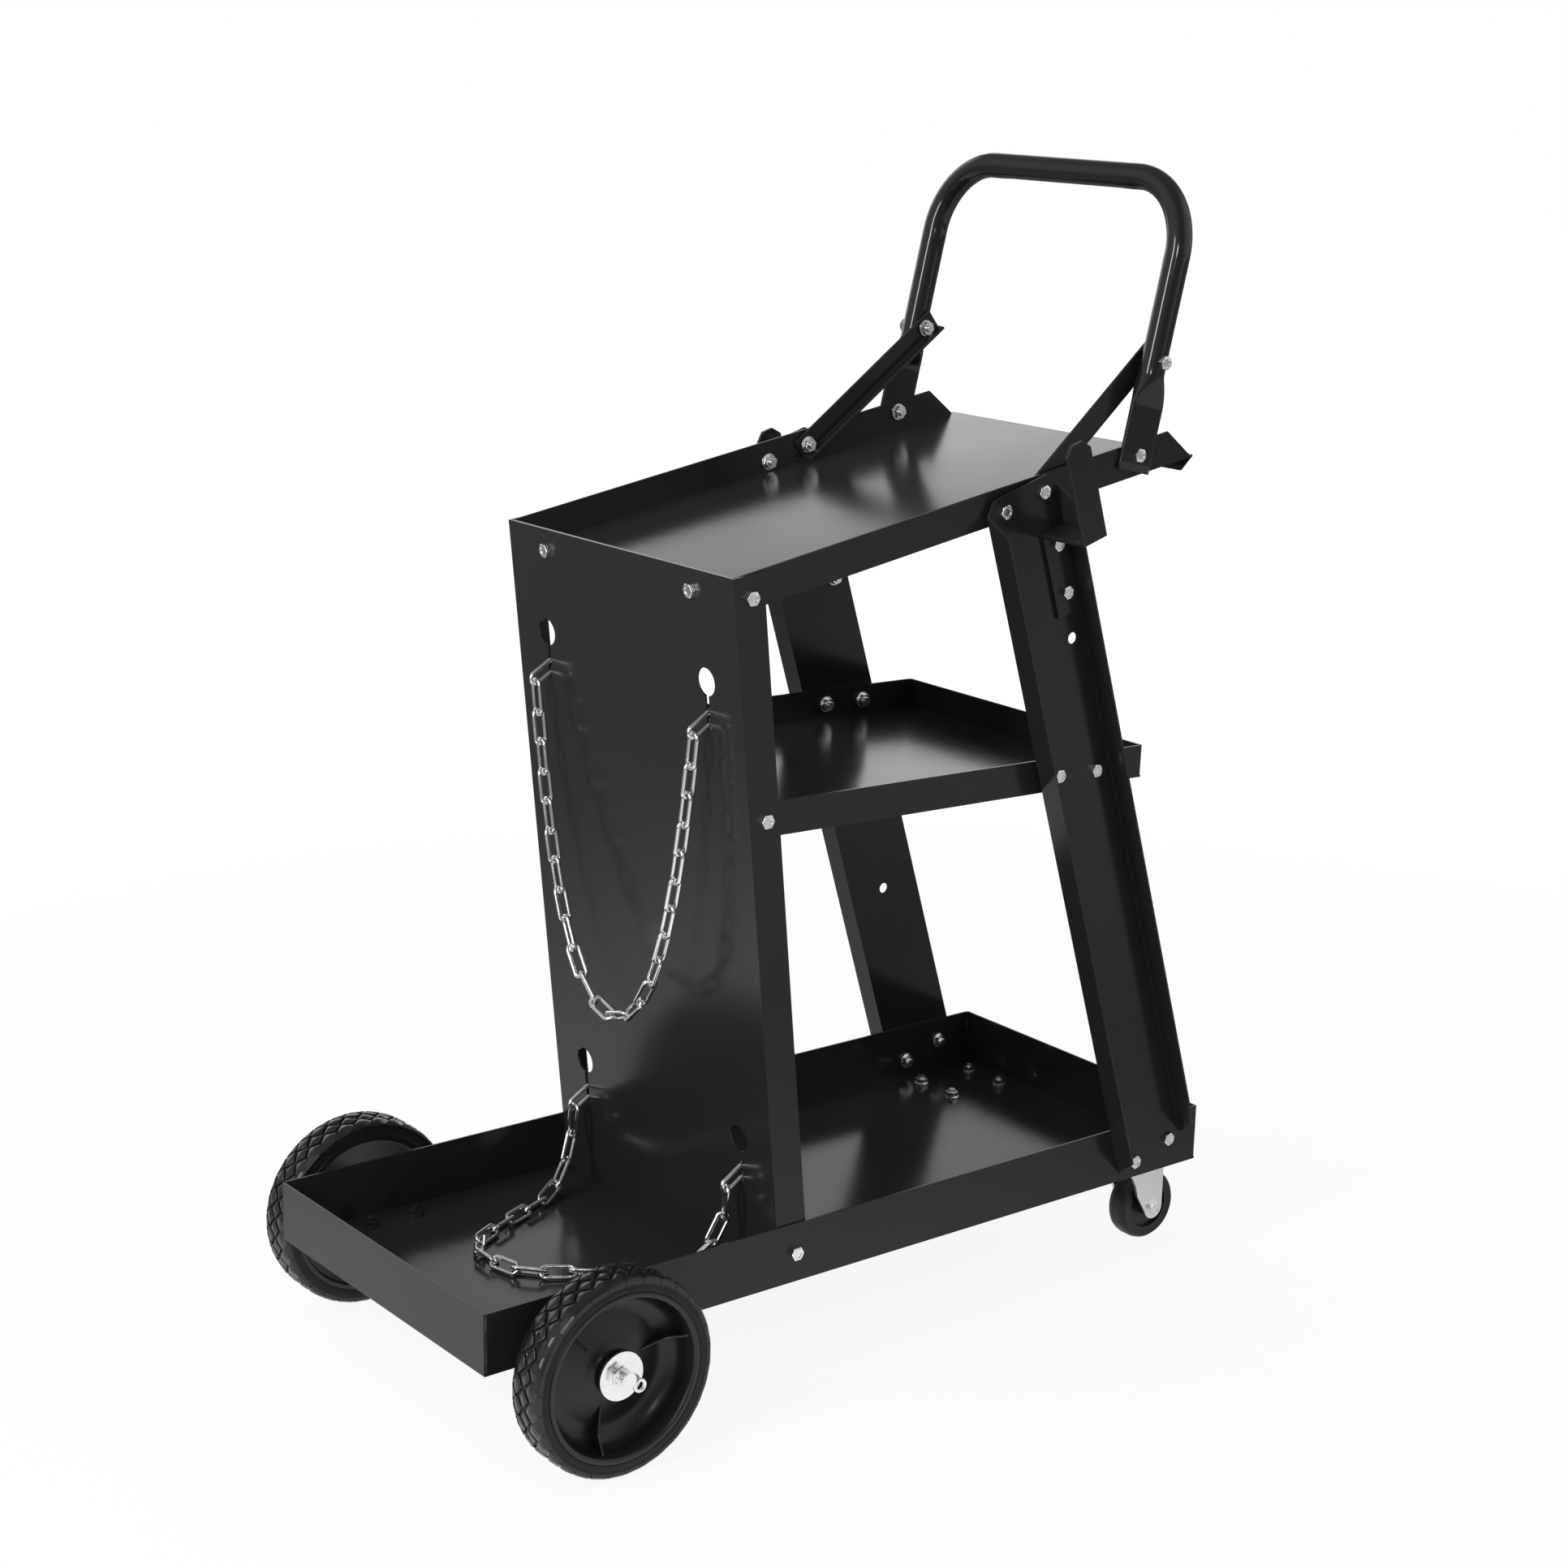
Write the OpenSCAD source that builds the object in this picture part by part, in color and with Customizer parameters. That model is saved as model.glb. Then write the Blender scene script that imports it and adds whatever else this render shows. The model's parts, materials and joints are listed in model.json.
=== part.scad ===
/* [Bottom tray] */
// Length of the bottom tray
tray_l = 700; // [640:10:800]
// Outside width of the bottom tray
tray_w = 290; // [260:5:340]
// Height of the bottom tray's walls, from its underside
tray_h = 47; // [35:1:60]
// Thickness of the sheet steel
sheet = 1.5; // [1:0.25:2]

/* [Cylinder plate] */
// Distance from the tray's front to the plate, at the tray's underside
plate_x = 262; // [230:1:300]
// Lean of the plate towards the front, in degrees
plate_lean = 5.8; // [0:0.1:10]
// Depth of the plate's folded sides
plate_flange = 27; // [24:1:32]
// Distance of each keyhole from the middle
key_y = 102.4; // [80:0.1:110]
// Distance of the upper keyholes' round ends below the top shelf
upper_key_drop = 55.5; // [40:0.5:90]
// Height of the lower keyholes' round ends
lower_key_z = 106.5; // [95:0.5:140]

/* [Shelves] */
// Slope of the middle shelf, down towards the handle, in degrees
mid_slope = 1.4; // [0:0.1:5]
// Height of the middle shelf's underside at the plate
mid_z = 352; // [320:1:380]
// Distance from the legs' bolts to the middle shelf's handle end
mid_past = 74.7; // [50:0.1:100]
// Slope of the top shelf, up towards the handle, in degrees
top_slope = 10; // [0:0.5:12]
// Height of the top shelf's underside at the plate
top_z = 517; // [500:1:530]
// Distance from the legs' bolts to the top shelf's handle end
top_past = 183.4; // [165:0.1:200]
// Height of the shelves' walls
shelf_h = 26; // [20:1:30]
// Depth of the top shelf's lip at the handle end
lip_h = 13; // [8:1:18]

/* [Legs and hooks] */
// Lean of the legs towards the front, in degrees
leg_lean = 17.2; // [12:0.1:20]
// Distance from the tray's back to the foot of the legs' middle line
leg_in = 48.3; // [40:0.1:60]
// Width of a leg
leg_w = 72; // [60:1:80]
// Depth of a leg's sides
leg_d = 20; // [15:1:26]
// Distance between the two holes of a pair
hole_pitch = 39.5; // [36:0.5:42]
// Reach of a hook, from its back strap to its front strap
hook_reach = 44; // [30:1:60]
// Height of a hook's front strap
hook_h = 75; // [50:1:90]
// Width of a hook's strap
hook_w = 24; // [18:1:28]

/* [Handle] */
// Outside diameter of the handle tube
tube_d = 20; // [16:0.5:22]
// Lean of the handle away from the shelf, in degrees
handle_lean = 13.4; // [8:0.1:18]
// Distance from the lower handle bolts to the middle of the top bar
handle_h = 210.7; // [180:0.1:260]
// Distance of each side of the handle from the middle, where it is round
handle_y = 141; // [138:0.5:145]
// Radius of the handle's two bends, at the middle of the tube
bend_r = 58; // [40:1:70]

/* [Wheels] */
// Diameter of the two fixed wheels
wheel_d = 152.4; // [130:0.1:170]
// Width of the two fixed wheels
wheel_w = 33; // [26:1:38]
// Distance from the tray's front to the axle
axle_x = 85.5; // [80:0.5:110]
// Diameter of the axle
axle_d = 12; // [10:0.5:14]
// Diameter of the swivel wheels
caster_d = 60; // [50:1:62]
// Width of the swivel wheels
caster_w = 20; // [16:1:22]
// Distance from the tray's back to the swivel axes
swivel_in = 48; // [44:1:70]
// Distance from each swivel axis to its wheel's axle
trail = 35; // [28:1:38]

/* [Chains] */
// Diameter of the chain's wire
wire_d = 3.2; // [2.6:0.1:3.4]
// Inside length of a link, and so the distance from link to link
link_pitch = 23; // [20:0.5:26]
// Number of links of the upper chain that hang between its two end links
upper_links = 24; // [20:2:28]

/* [Hidden] */
$fn = 48;

// Fits between pieces
fit_gap = 0.1;
run_gap = 0.08;
move_gap = 0.35;
cut = 1;

// Bolts, all of one size
bolt_d = 6;
bolt_hole = 6.6;
hex_af = 10;
hex_d = hex_af / cos(30);
head_h = 4;
head_top_r = hex_af / 2 - 0.4;
head_bevel = 22;
head_dish_d = 6.5;
head_dish_h = 0.8;
nut_h = 5;
nut_flange_d = 13.6;
nut_flange_h = 1.2;
tip_l = 2.4;

// Widths of the pieces that fit inside each other
plate_w = tray_w - 2 * (sheet + fit_gap);
shelf_w = plate_w - 2 * (sheet + fit_gap);
plate_side = plate_w / 2;
shelf_side = shelf_w / 2;
tray_side = tray_w / 2;
leg_pad = tray_side - shelf_side;

// Heights above the floor, and the middle of the whole length
swivel_x = tray_l - swivel_in;
ride_h = (wheel_d + axle_d) / 2;
axle_z = -axle_d / 2;
caster_axle_z = caster_d / 2 - ride_h;
x_mid = (swivel_x + trail + caster_d / 2) / 2;

// Cylinder plate
key_d = 21;
slot_w = 4.2;
slot_l = 36;
plate_top = top_z + shelf_h;
plate_l = (plate_top - sheet - fit_gap) / cos(plate_lean);
upper_key_z = top_z - upper_key_drop;
plate_bolt_in = 14.5;
plate_face_bolt_y = 92.6;
plate_face_bolt_up = 10;
plate_side_bolt_up = [23.5, 12.5, 11];
plate_face_bolt_z = top_z + plate_face_bolt_up;
plate_bolt_z = [0, mid_z, top_z] + plate_side_bolt_up;
corner_gap = 0.8;
hole_cut = 6 * sheet;

// Legs: distances along the leg from the level of the tray's underside
leg_row_in = 1.75;
leg_row = hole_pitch / 2 + leg_row_in;
leg_x = tray_l - leg_in;
leg_mid_turn = leg_lean + mid_slope;
leg_mid_up = 13.2;
leg_top_up = 11.6;
leg_bottom_bolts = 21.7;
leg_mid_bolts = leg_crossing(plate_back(mid_z), mid_z + leg_mid_up / cos(mid_slope), -mid_slope);
leg_top_bolts = leg_crossing(plate_back(top_z) + fit_gap, top_z + leg_top_up / cos(top_slope), top_slope);
leg_row_under = 42.5;
leg_end = 11.5;
leg_corner = 9;
leg_flange_cut = 15;
leg_flange_start = 2.7;
row_hole_d = 9;
row_top = leg_top_bolts - leg_row_under;
spare_hole = 190;
pad_half_h = 8;
pad_half_l = hole_pitch / 2 + pad_half_h;
leg_hole_l = 4 * (sheet + leg_pad);

// Hooks
hook_t = 3;
hook_over = 12;
hook_under = 18;
hook_chamfer = 7;
left_hook_hole = 0;
right_hook_hole = 1;

// Lengths of the shelves, from the plate to past the legs
mid_l = (leg_point(0, leg_mid_bolts)[0] - plate_back(mid_z)) / cos(mid_slope) + mid_past;
top_l = (leg_point(0, leg_top_bolts)[0] - plate_back(top_z)) / cos(top_slope) + top_past;

// Handle and braces
tube_t = 1.5;
flat_t = 3.6;
flat_w = 33;
flat_under = 13;
flat_over = 38;
flat_blend = 24;
handle_in = 61.4;
handle_up = 16.8;
handle_x = top_point(top_l - handle_in, handle_up)[0];
handle_z = top_point(top_l - handle_in, handle_up)[1];
handle_pitch = 72;
brace_w = 18;
brace_flange = 10;
brace_t = 2;
brace_under = 8;
brace_over = 12;
brace_hole = 7.4;
brace_clear = 0.9;
brace_seat = 0.6;

// Ends of a brace on the left: the leg's rear top bolt and the handle's upper bolt
brace_low = leg_point(hole_pitch / 2, leg_top_bolts);
brace_high = [handle_x + handle_pitch * sin(handle_lean), handle_z + handle_pitch * cos(handle_lean)];
brace_low_y = -(shelf_side - sheet - brace_clear);
brace_high_y = -(handle_y - tube_d / 2 - brace_clear);
brace_run = brace_high - brace_low;
brace_l = norm(brace_run);
brace_rise = atan2(brace_run[1], brace_run[0]);
brace_in = atan2(brace_high_y - brace_low_y, brace_l);
brace_nut_in = tray_side + brace_low_y + brace_t + brace_seat;

// Axle and fixed wheels, sideways from the tray's wall
wheel_in = 17;
hub_in = 15;
hub_out = 41.5;
hub_bore = axle_d / 2 + run_gap;
dish_r = 60;
dish_edge = 7;
dish_round = 8;
dish_boss = 9;
rim_r = 64;
rim_step = 1;
lip_up = 0.6;
lip_w = 1.5;
boss_r = 14.5;
web_t = 4;
rib_t = 2;
rib_in = 12;
rib_out = 5;
rib_turns = [105, 225, 345];
wheel_out = wheel_in + wheel_w;
shoulder = 3;
crown = 0.6;
washer_d = 37;
washer_t = 2.5;
inner_washer_d = 28;
spacer_d = 18;
pin_y = 48.5;
axle_end = 54;
pin_d = 3;
pin_turn = 125;
pin_half = axle_d / 2 + 5;
pin_eye_r = 4.2;
pin_tip_d = 2;
pin_tip_l = 8;
pin_tip_turn = 60;
strap_w = 30;
strap_t = 2.5;
strap_in = 20;
strap_y = tray_side - strap_in;
strap_bolt_x = 20;
strap_foot = strap_bolt_x + 11;

// Casters
caster_y = 98;
caster_bolt_x = 28;
caster_bolt_y = 20.5;
caster_plate_l = 76;
caster_plate_w = 60;
caster_t = 2.5;
race_d = 38;
race_h = 4.5;
crown_r = 21;
crown_z = -(caster_t + race_h + move_gap);
kingpin_r = 5;
kingpin_head_r = 9;
kingpin_head_h = 3;
fork_in = 13;
fork_out = fork_in + caster_t;
fork_end_r = 10;
fork_back = 13;
fork_neck = [-2, crown_z - 8];
fork_throat = [-26, caster_axle_z + 8];
fork_throat_r = 42;
fork_throat_turn = [40, 8];
fork_end_turn = [195, 355];
fork_front = trail + fork_end_r;
fork_chamfer = [2, 3];
bush_r = 4.5;
caster_hub_half = fork_in - 1;
caster_hub_r = 9;
caster_rim_r = caster_d / 2 - 8;
caster_rim_t = 2;
caster_rim_in = 1;
caster_web_in = 4;
caster_shoulder = [[3, 0], [0.8, 2.5], [0, 6]];

// Chains
wire_facets = 24;
link_clear = 0.3;
link_in_l = link_pitch + 2 * link_clear;
link_in_w = 5.6;
link_r = (link_in_w + wire_d) / 2;
link_straight = link_in_l - link_in_w;
quarter = 90;
end_slope = 32;
end_dir = [-cos(end_slope), 0, -sin(end_slope)];
chain_drop = 25.5;
end_back = sheet + move_gap + wire_d / 2;

// ---------------------------------------------------------------- places

// From the tray's own frame (front edge, middle, underside) to the floor's
module on_floor() {
    translate([-x_mid, 0, ride_h]) children();
}

// The same piece on the right-hand side, mirrored
module on_right() {
    mirror([0, 1, 0]) children();
}

// The plate's frame: +Y across, +Z up along the plate, +X out of its back
module in_plate() {
    translate([plate_x, 0, 0]) rotate([0, -plate_lean, 0]) children();
}

// A leg's frame on the left: +Z up along it, +X across it, -Y outwards from the tray's wall
module in_leg() {
    translate([leg_x, -tray_side, 0]) rotate([0, -leg_lean, 0]) children();
}

// The middle shelf's frame, at the front end of its underside
module in_middle() {
    translate([plate_back(mid_z), 0, mid_z]) rotate([0, mid_slope, 0]) children();
}

// The top shelf's frame, at the front end of its underside
module in_top() {
    translate([plate_back(top_z) + fit_gap, 0, top_z]) rotate([0, -top_slope, 0]) children();
}

// Where the back of the plate's face is at a height
function plate_back(z) = plate_x - z * tan(plate_lean) + (sheet + fit_gap) / cos(plate_lean);

// Where a place in the top shelf's frame is, along and up from the tray's corner
function top_point(along, up) = [
    plate_back(top_z) + fit_gap + along * cos(top_slope) - up * sin(top_slope),
    top_z + along * sin(top_slope) + up * cos(top_slope)
];

// Where a line of shelf bolts crosses a leg's middle line, from its place at the plate and its slope
function leg_crossing(x, z, slope) =
    (z + (leg_x - x) * tan(slope)) / (cos(leg_lean) + sin(leg_lean) * tan(slope));

// Where a place in a leg's frame is, along and up from the tray's corner
function leg_point(across, along) = [
    leg_x + across * cos(leg_lean) - along * sin(leg_lean),
    across * sin(leg_lean) + along * cos(leg_lean)
];

// ---------------------------------------------------------------- fasteners

// A round hole along -Y through anything near y = 0
module hole_y(d, l) {
    rotate([90, 0, 0]) cylinder(d = d, h = l, center = true);
}

// Bolt with its head's underside at y = 0, head towards -Y and shank towards +Y
module bolt(grip) {
    rotate([-90, 0, 0]) {
        translate([0, 0, -head_h]) difference() {
            intersection() {
                cylinder(d = hex_d, h = head_h, $fn = 6);
                cylinder(r1 = head_top_r, r2 = head_top_r + head_h / tan(head_bevel), h = head_h);
            }
            translate([0, 0, -cut]) cylinder(d = head_dish_d, h = cut + head_dish_h);
        }
        cylinder(d = bolt_d, h = grip + nut_h + tip_l);
    }
}

// Flanged nut with its flange on y = 0 and its body towards +Y
module nut() {
    rotate([-90, 0, 0]) difference() {
        union() {
            cylinder(d = nut_flange_d, h = nut_flange_h);
            cylinder(d = hex_d, h = nut_h, $fn = 6);
        }
        translate([0, 0, -cut]) cylinder(d = bolt_d + 2 * run_gap, h = nut_h + 2 * cut);
    }
}

// Places its child's copies at the same distance on both sides of the middle
module both_walls(side) {
    for (y = [-side, side]) translate([0, y, 0]) children();
}

// Places its child's copies at both ends of a pair of holes
module pair(pitch) {
    for (side = [-1, 1]) translate([side * pitch / 2, 0, 0]) children();
}

// ---------------------------------------------------------------- sheet pieces

module bottom_tray() {
    color("dimgray") on_floor() difference() {
        union() {
            translate([0, -tray_side, 0]) cube([tray_l, tray_w, sheet]);
            for (x = [0, tray_l - sheet]) {
                translate([x, -tray_side + corner_gap, 0]) cube([sheet, tray_w - 2 * corner_gap, tray_h]);
            }
            for (y = [-tray_side, tray_side - sheet]) {
                translate([sheet + corner_gap, y, 0])
                    cube([tray_l - 2 * (sheet + corner_gap), sheet, tray_h]);
            }
        }
        caster_hole_places() cylinder(d = bolt_hole, h = 4 * sheet, center = true);
        strap_hole_places() cylinder(d = bolt_hole, h = 4 * sheet, center = true);
        plate_bolt_place(plate_bolt_z[0]) both_walls(tray_side) hole_y(bolt_hole, hole_cut);
        leg_hole_cuts(leg_bottom_bolts, 0);
    }
}

// The left leg's pair of holes at one height, as cutters through the wall that it holds
module leg_hole_pair(along, turn) {
    in_leg() translate([0, 0, along]) rotate([0, turn, 0]) pair(hole_pitch) hole_y(bolt_hole, leg_hole_l);
}

// The same on both sides
module leg_hole_cuts(along, turn) {
    leg_hole_pair(along, turn);
    on_right() leg_hole_pair(along, turn);
}

// The place of a side bolt of the plate, in the middle plane
module plate_bolt_place(z) {
    translate([plate_x - z * tan(plate_lean) + plate_bolt_in / cos(plate_lean), 0, z]) children();
}

module keyhole() {
    rotate([0, 90, 0]) {
        cylinder(d = key_d, h = hole_cut, center = true);
        translate([slot_l / 2, 0, 0]) cube([slot_l, slot_w, hole_cut], center = true);
    }
}

module cylinder_plate() {
    color("dimgray") on_floor() difference() {
        in_plate() translate([0, 0, (sheet + fit_gap) / cos(plate_lean)]) {
            translate([0, -plate_side, 0]) cube([sheet, plate_w, plate_l]);
            for (y = [-plate_side, plate_side - sheet]) {
                translate([0, y, 0]) cube([plate_flange, sheet, plate_l]);
            }
        }
        for (z = plate_bolt_z) plate_bolt_place(z) both_walls(plate_side) hole_y(bolt_hole, hole_cut);
        for (z = [upper_key_z, lower_key_z]) {
            in_plate() translate([0, 0, z / cos(plate_lean)]) both_walls(key_y) keyhole();
        }
        plate_face_places() hole_y(bolt_hole, hole_cut);
    }
}

module middle_shelf() {
    color("dimgray") on_floor() difference() {
        in_middle() {
            translate([0, -shelf_side, 0]) cube([mid_l, shelf_w, sheet]);
            for (y = [-shelf_side, shelf_side - sheet]) {
                translate([0, y, 0]) cube([mid_l - sheet - corner_gap, sheet, shelf_h]);
            }
            translate([mid_l - sheet, -shelf_side + corner_gap, 0])
                cube([sheet, shelf_w - 2 * corner_gap, shelf_h]);
        }
        plate_bolt_place(plate_bolt_z[1]) both_walls(shelf_side) hole_y(bolt_hole, hole_cut);
        leg_hole_cuts(leg_mid_bolts, leg_mid_turn);
    }
}

// Side wall of the top shelf, with its mitred end
module top_wall() {
    rotate([90, 0, 0]) linear_extrude(sheet) polygon([
        [0, 0], [top_l - sheet, 0], [top_l - shelf_h + sheet, shelf_h],
        [shelf_h * tan(top_slope - plate_lean), shelf_h]
    ]);
}

module top_shelf() {
    color("dimgray") on_floor() difference() {
        in_top() {
            translate([0, -shelf_side, 0]) cube([top_l, shelf_w, sheet]);
            for (y = [-shelf_side + sheet, shelf_side]) translate([0, y, 0]) top_wall();
            rotate([0, top_slope - plate_lean, 0]) translate([0, -shelf_side + corner_gap + sheet, 0])
                cube([sheet, shelf_w - 2 * (corner_gap + sheet), shelf_h]);
            translate([top_l, 0, 0]) rotate([90, 0, -90]) linear_extrude(sheet) polygon([
                [-shelf_side, sheet], [shelf_side, sheet], [shelf_side, 0],
                [shelf_side - lip_h, -lip_h], [-shelf_side + lip_h, -lip_h], [-shelf_side, 0]
            ]);
        }
        plate_bolt_place(plate_bolt_z[2]) both_walls(shelf_side) hole_y(bolt_hole, hole_cut);
        translate([handle_x, 0, handle_z]) both_walls(shelf_side) hole_y(bolt_hole, hole_cut);
        plate_face_places() hole_y(bolt_hole, hole_cut);
        leg_hole_cuts(leg_top_bolts, 0);
    }
}

// ---------------------------------------------------------------- legs and hooks

// One leg in its own frame: the web lies against the tray's wall and the sides point outwards
module leg_channel() {
    low = leg_bottom_bolts - leg_end;
    high = leg_top_bolts + leg_end;
    side_low = leg_bottom_bolts - leg_flange_start;
    side_high = leg_top_bolts + leg_flange_start;
    half = leg_w / 2;
    rotate([90, 0, 0]) linear_extrude(sheet) polygon([
        [-half + leg_corner, low], [half - leg_corner, low], [half, side_low], [half, side_high],
        [half - leg_corner, high], [-half + leg_corner, high], [-half, side_high], [-half, side_low]
    ]);
    for (x = [-half, half - sheet]) translate([x, 0, 0]) rotate([90, 0, 90]) linear_extrude(sheet) polygon([
        [0, side_low], [-leg_d, side_low + leg_flange_cut],
        [-leg_d, side_high - leg_flange_cut], [0, side_high]
    ]);
}

// Raised pad that spans from the web to a shelf's wall
module leg_pad_at(along, turn) {
    translate([0, 0, along]) rotate([0, turn, 0])
        translate([-pad_half_l, 0, -pad_half_h]) cube([2 * pad_half_l, leg_pad, 2 * pad_half_h]);
}

module leg_holes() {
    for (along = [leg_bottom_bolts, leg_top_bolts]) {
        translate([0, 0, along]) pair(hole_pitch) hole_y(bolt_hole, leg_hole_l);
    }
    translate([0, 0, leg_mid_bolts]) rotate([0, leg_mid_turn, 0])
        pair(hole_pitch) hole_y(bolt_hole, leg_hole_l);
    for (i = [0:2]) translate([leg_row, 0, row_top - i * hole_pitch]) hole_y(row_hole_d, hole_cut);
}

module leg() {
    difference() {
        union() {
            leg_channel();
            leg_pad_at(leg_top_bolts, 0);
            leg_pad_at(leg_mid_bolts, leg_mid_turn);
        }
        leg_holes();
    }
}

module left_leg() {
    color("dimgray") on_floor() in_leg() leg();
}

module right_leg() {
    color("dimgray") on_floor() on_right() in_leg() difference() {
        leg();
        translate([0, 0, spare_hole]) hole_y(row_hole_d, hole_cut);
    }
}

// Hook in a leg's frame: back strap on the web, shelf outwards and front strap up.
// first is the hole of the row that takes its upper bolt.
module hook(first) {
    upper = row_top - first * hole_pitch;
    bend = upper + hook_over;
    translate([leg_row, -sheet, 0]) difference() {
        union() {
            translate([-hook_w / 2, -hook_t, upper - hole_pitch - hook_under])
                cube([hook_w, hook_t, hook_over + hole_pitch + hook_under]);
            translate([-hook_w / 2, -hook_reach - hook_t, bend - hook_t])
                cube([hook_w, hook_reach + hook_t, hook_t]);
            translate([0, -hook_reach, bend]) rotate([90, 0, 0]) linear_extrude(hook_t) polygon([
                [-hook_w / 2, -hook_t], [hook_w / 2, -hook_t], [hook_w / 2, hook_h - hook_chamfer],
                [hook_w / 2 - hook_chamfer, hook_h], [-hook_w / 2 + hook_chamfer, hook_h],
                [-hook_w / 2, hook_h - hook_chamfer]
            ]);
        }
        for (i = [0, 1]) translate([0, 0, upper - i * hole_pitch]) hole_y(bolt_hole, 4 * hook_t);
    }
}

module left_hook() {
    color("dimgray") on_floor() in_leg() hook(left_hook_hole);
}

module right_hook() {
    color("dimgray") on_floor() on_right() in_leg() hook(right_hook_hole);
}

// ---------------------------------------------------------------- handle

// The handle's frame: +Z up along it from the lower bolts, +Y across
module in_handle() {
    translate([handle_x, 0, handle_z]) rotate([0, handle_lean, 0]) children();
}

// The round part of the handle, for one radius of tube
module handle_loop(r, foot) {
    for (side = [-1, 1]) {
        translate([0, side * handle_y, foot]) cylinder(r = r, h = handle_h - bend_r - foot);
        translate([0, side * (handle_y - bend_r), handle_h - bend_r]) rotate([90, 0, 90])
            rotate([0, 0, side > 0 ? 0 : 90]) rotate_extrude(angle = 90) translate([bend_r, 0]) circle(r = r);
    }
    translate([0, 0, handle_h]) rotate([90, 0, 0])
        cylinder(r = r, h = 2 * (handle_y - bend_r), center = true);
}

// Flattened lower end on the left, with the blend to the round tube
module handle_end() {
    foot = flat_over + flat_blend;
    translate([-flat_w / 2, -shelf_side - flat_t, -flat_under])
        cube([flat_w, flat_t, flat_under + flat_over]);
    hull() {
        translate([-flat_w / 2, -shelf_side - flat_t, flat_over - cut]) cube([flat_w, flat_t, cut]);
        translate([0, -handle_y, foot]) cylinder(d = tube_d, h = cut);
    }
}

module handle() {
    color([0.1, 0.1, 0.1]) on_floor() in_handle() difference() {
        union() {
            handle_loop(tube_d / 2, flat_over + flat_blend);
            handle_end();
            on_right() handle_end();
        }
        handle_loop(tube_d / 2 - tube_t, flat_over + flat_blend + 2 * cut);
        both_walls(shelf_side) hole_y(bolt_hole, 4 * flat_t);
        translate([0, 0, handle_pitch]) both_walls(handle_y) hole_y(bolt_hole, 2 * tube_d);
    }
}

// Angle bracket from the shelf's wall to the inside of the handle tube
module brace() {
    total = brace_l / cos(brace_in) + brace_under + brace_over;
    difference() {
        translate([brace_low[0], brace_low_y, brace_low[1]])
            rotate([0, -brace_rise, 0]) rotate([0, 0, brace_in]) translate([-brace_under, 0, -brace_w / 2]) {
                cube([total, brace_t, brace_w]);
                cube([total, brace_flange, brace_t]);
            }
        for (p = [brace_low, brace_high]) {
            translate([p[0], brace_high_y, p[1]]) hole_y(brace_hole, 2 * tube_d);
        }
    }
}

module left_brace() {
    color([0.1, 0.1, 0.1]) on_floor() brace();
}

module right_brace() {
    color([0.1, 0.1, 0.1]) on_floor() on_right() brace();
}

// ---------------------------------------------------------------- axle and fixed wheels

module at_axle() {
    translate([axle_x, 0, axle_z]) children();
}

module axle() {
    color("silver") on_floor() at_axle() difference() {
        rotate([90, 0, 0]) cylinder(d = axle_d, h = 2 * (tray_side + axle_end), center = true);
        for (side = [-1, 1]) translate([0, side * (tray_side + pin_y), 0]) rotate([0, pin_turn, 0])
            cylinder(d = pin_d + 2 * fit_gap, h = 2 * axle_d, center = true);
    }
}

module strap_hole_places() {
    for (side = [-1, 1], x = [-strap_bolt_x, strap_bolt_x]) {
        translate([axle_x + x, side * strap_y, 0]) children();
    }
}

// Saddle strap under the axle, with a foot on each side against the tray
module axle_strap() {
    r_in = axle_d / 2 + fit_gap;
    r_out = r_in + strap_t;
    translate([axle_x, -strap_y + strap_w / 2, 0]) rotate([90, 0, 0]) difference() {
        linear_extrude(strap_w) difference() {
            union() {
                translate([0, axle_z]) circle(r = r_out);
                translate([-r_out, axle_z]) square([2 * r_out, -axle_z]);
                translate([-strap_foot, -strap_t]) square([2 * strap_foot, strap_t]);
            }
            translate([0, axle_z]) circle(r = r_in);
            translate([-r_in, axle_z]) square([2 * r_in, 2 * r_in]);
        }
        for (x = [-strap_bolt_x, strap_bolt_x]) translate([x, 0, strap_w / 2]) rotate([90, 0, 0])
            cylinder(d = bolt_hole, h = 4 * strap_t, center = true);
    }
}

module left_axle_strap() {
    color("dimgray") on_floor() axle_strap();
}

module right_axle_strap() {
    color("dimgray") on_floor() on_right() axle_strap();
}

// Ring round the axle on the left, from one distance to another out of the tray's wall
module axle_ring(d, from, to) {
    at_axle() translate([0, -tray_side - from, 0]) rotate([90, 0, 0]) difference() {
        cylinder(d = d, h = to - from);
        translate([0, 0, -cut]) cylinder(r = hub_bore, h = to - from + 2 * cut);
    }
}

module both_rings(d, from, to) {
    axle_ring(d, from, to);
    on_right() axle_ring(d, from, to);
}

module axle_spacers() {
    color("silver") on_floor() both_rings(spacer_d, move_gap, hub_in - washer_t - 2 * move_gap);
}

module inner_washers() {
    color("silver") on_floor() both_rings(inner_washer_d, hub_in - washer_t - move_gap, hub_in - move_gap);
}

module outer_washers() {
    color("silver") on_floor() both_rings(washer_d, hub_out + move_gap, hub_out + move_gap + washer_t);
}

// Split pin: two legs through the axle, an eye at one end and bent tips at the other
module split_pin() {
    at_axle() translate([0, -tray_side - pin_y, 0]) rotate([0, pin_turn, 0]) {
        translate([0, 0, -pin_half]) cylinder(d = pin_d, h = 2 * pin_half);
        translate([0, 0, pin_half + pin_eye_r]) rotate([90, 0, 0])
            rotate_extrude() translate([pin_eye_r, 0]) circle(d = pin_d);
        for (turn = [0, 180]) translate([0, 0, -pin_half]) rotate([0, 0, turn]) rotate([0, pin_tip_turn, 0])
            cylinder(d = pin_tip_d, h = pin_tip_l);
    }
}

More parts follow.
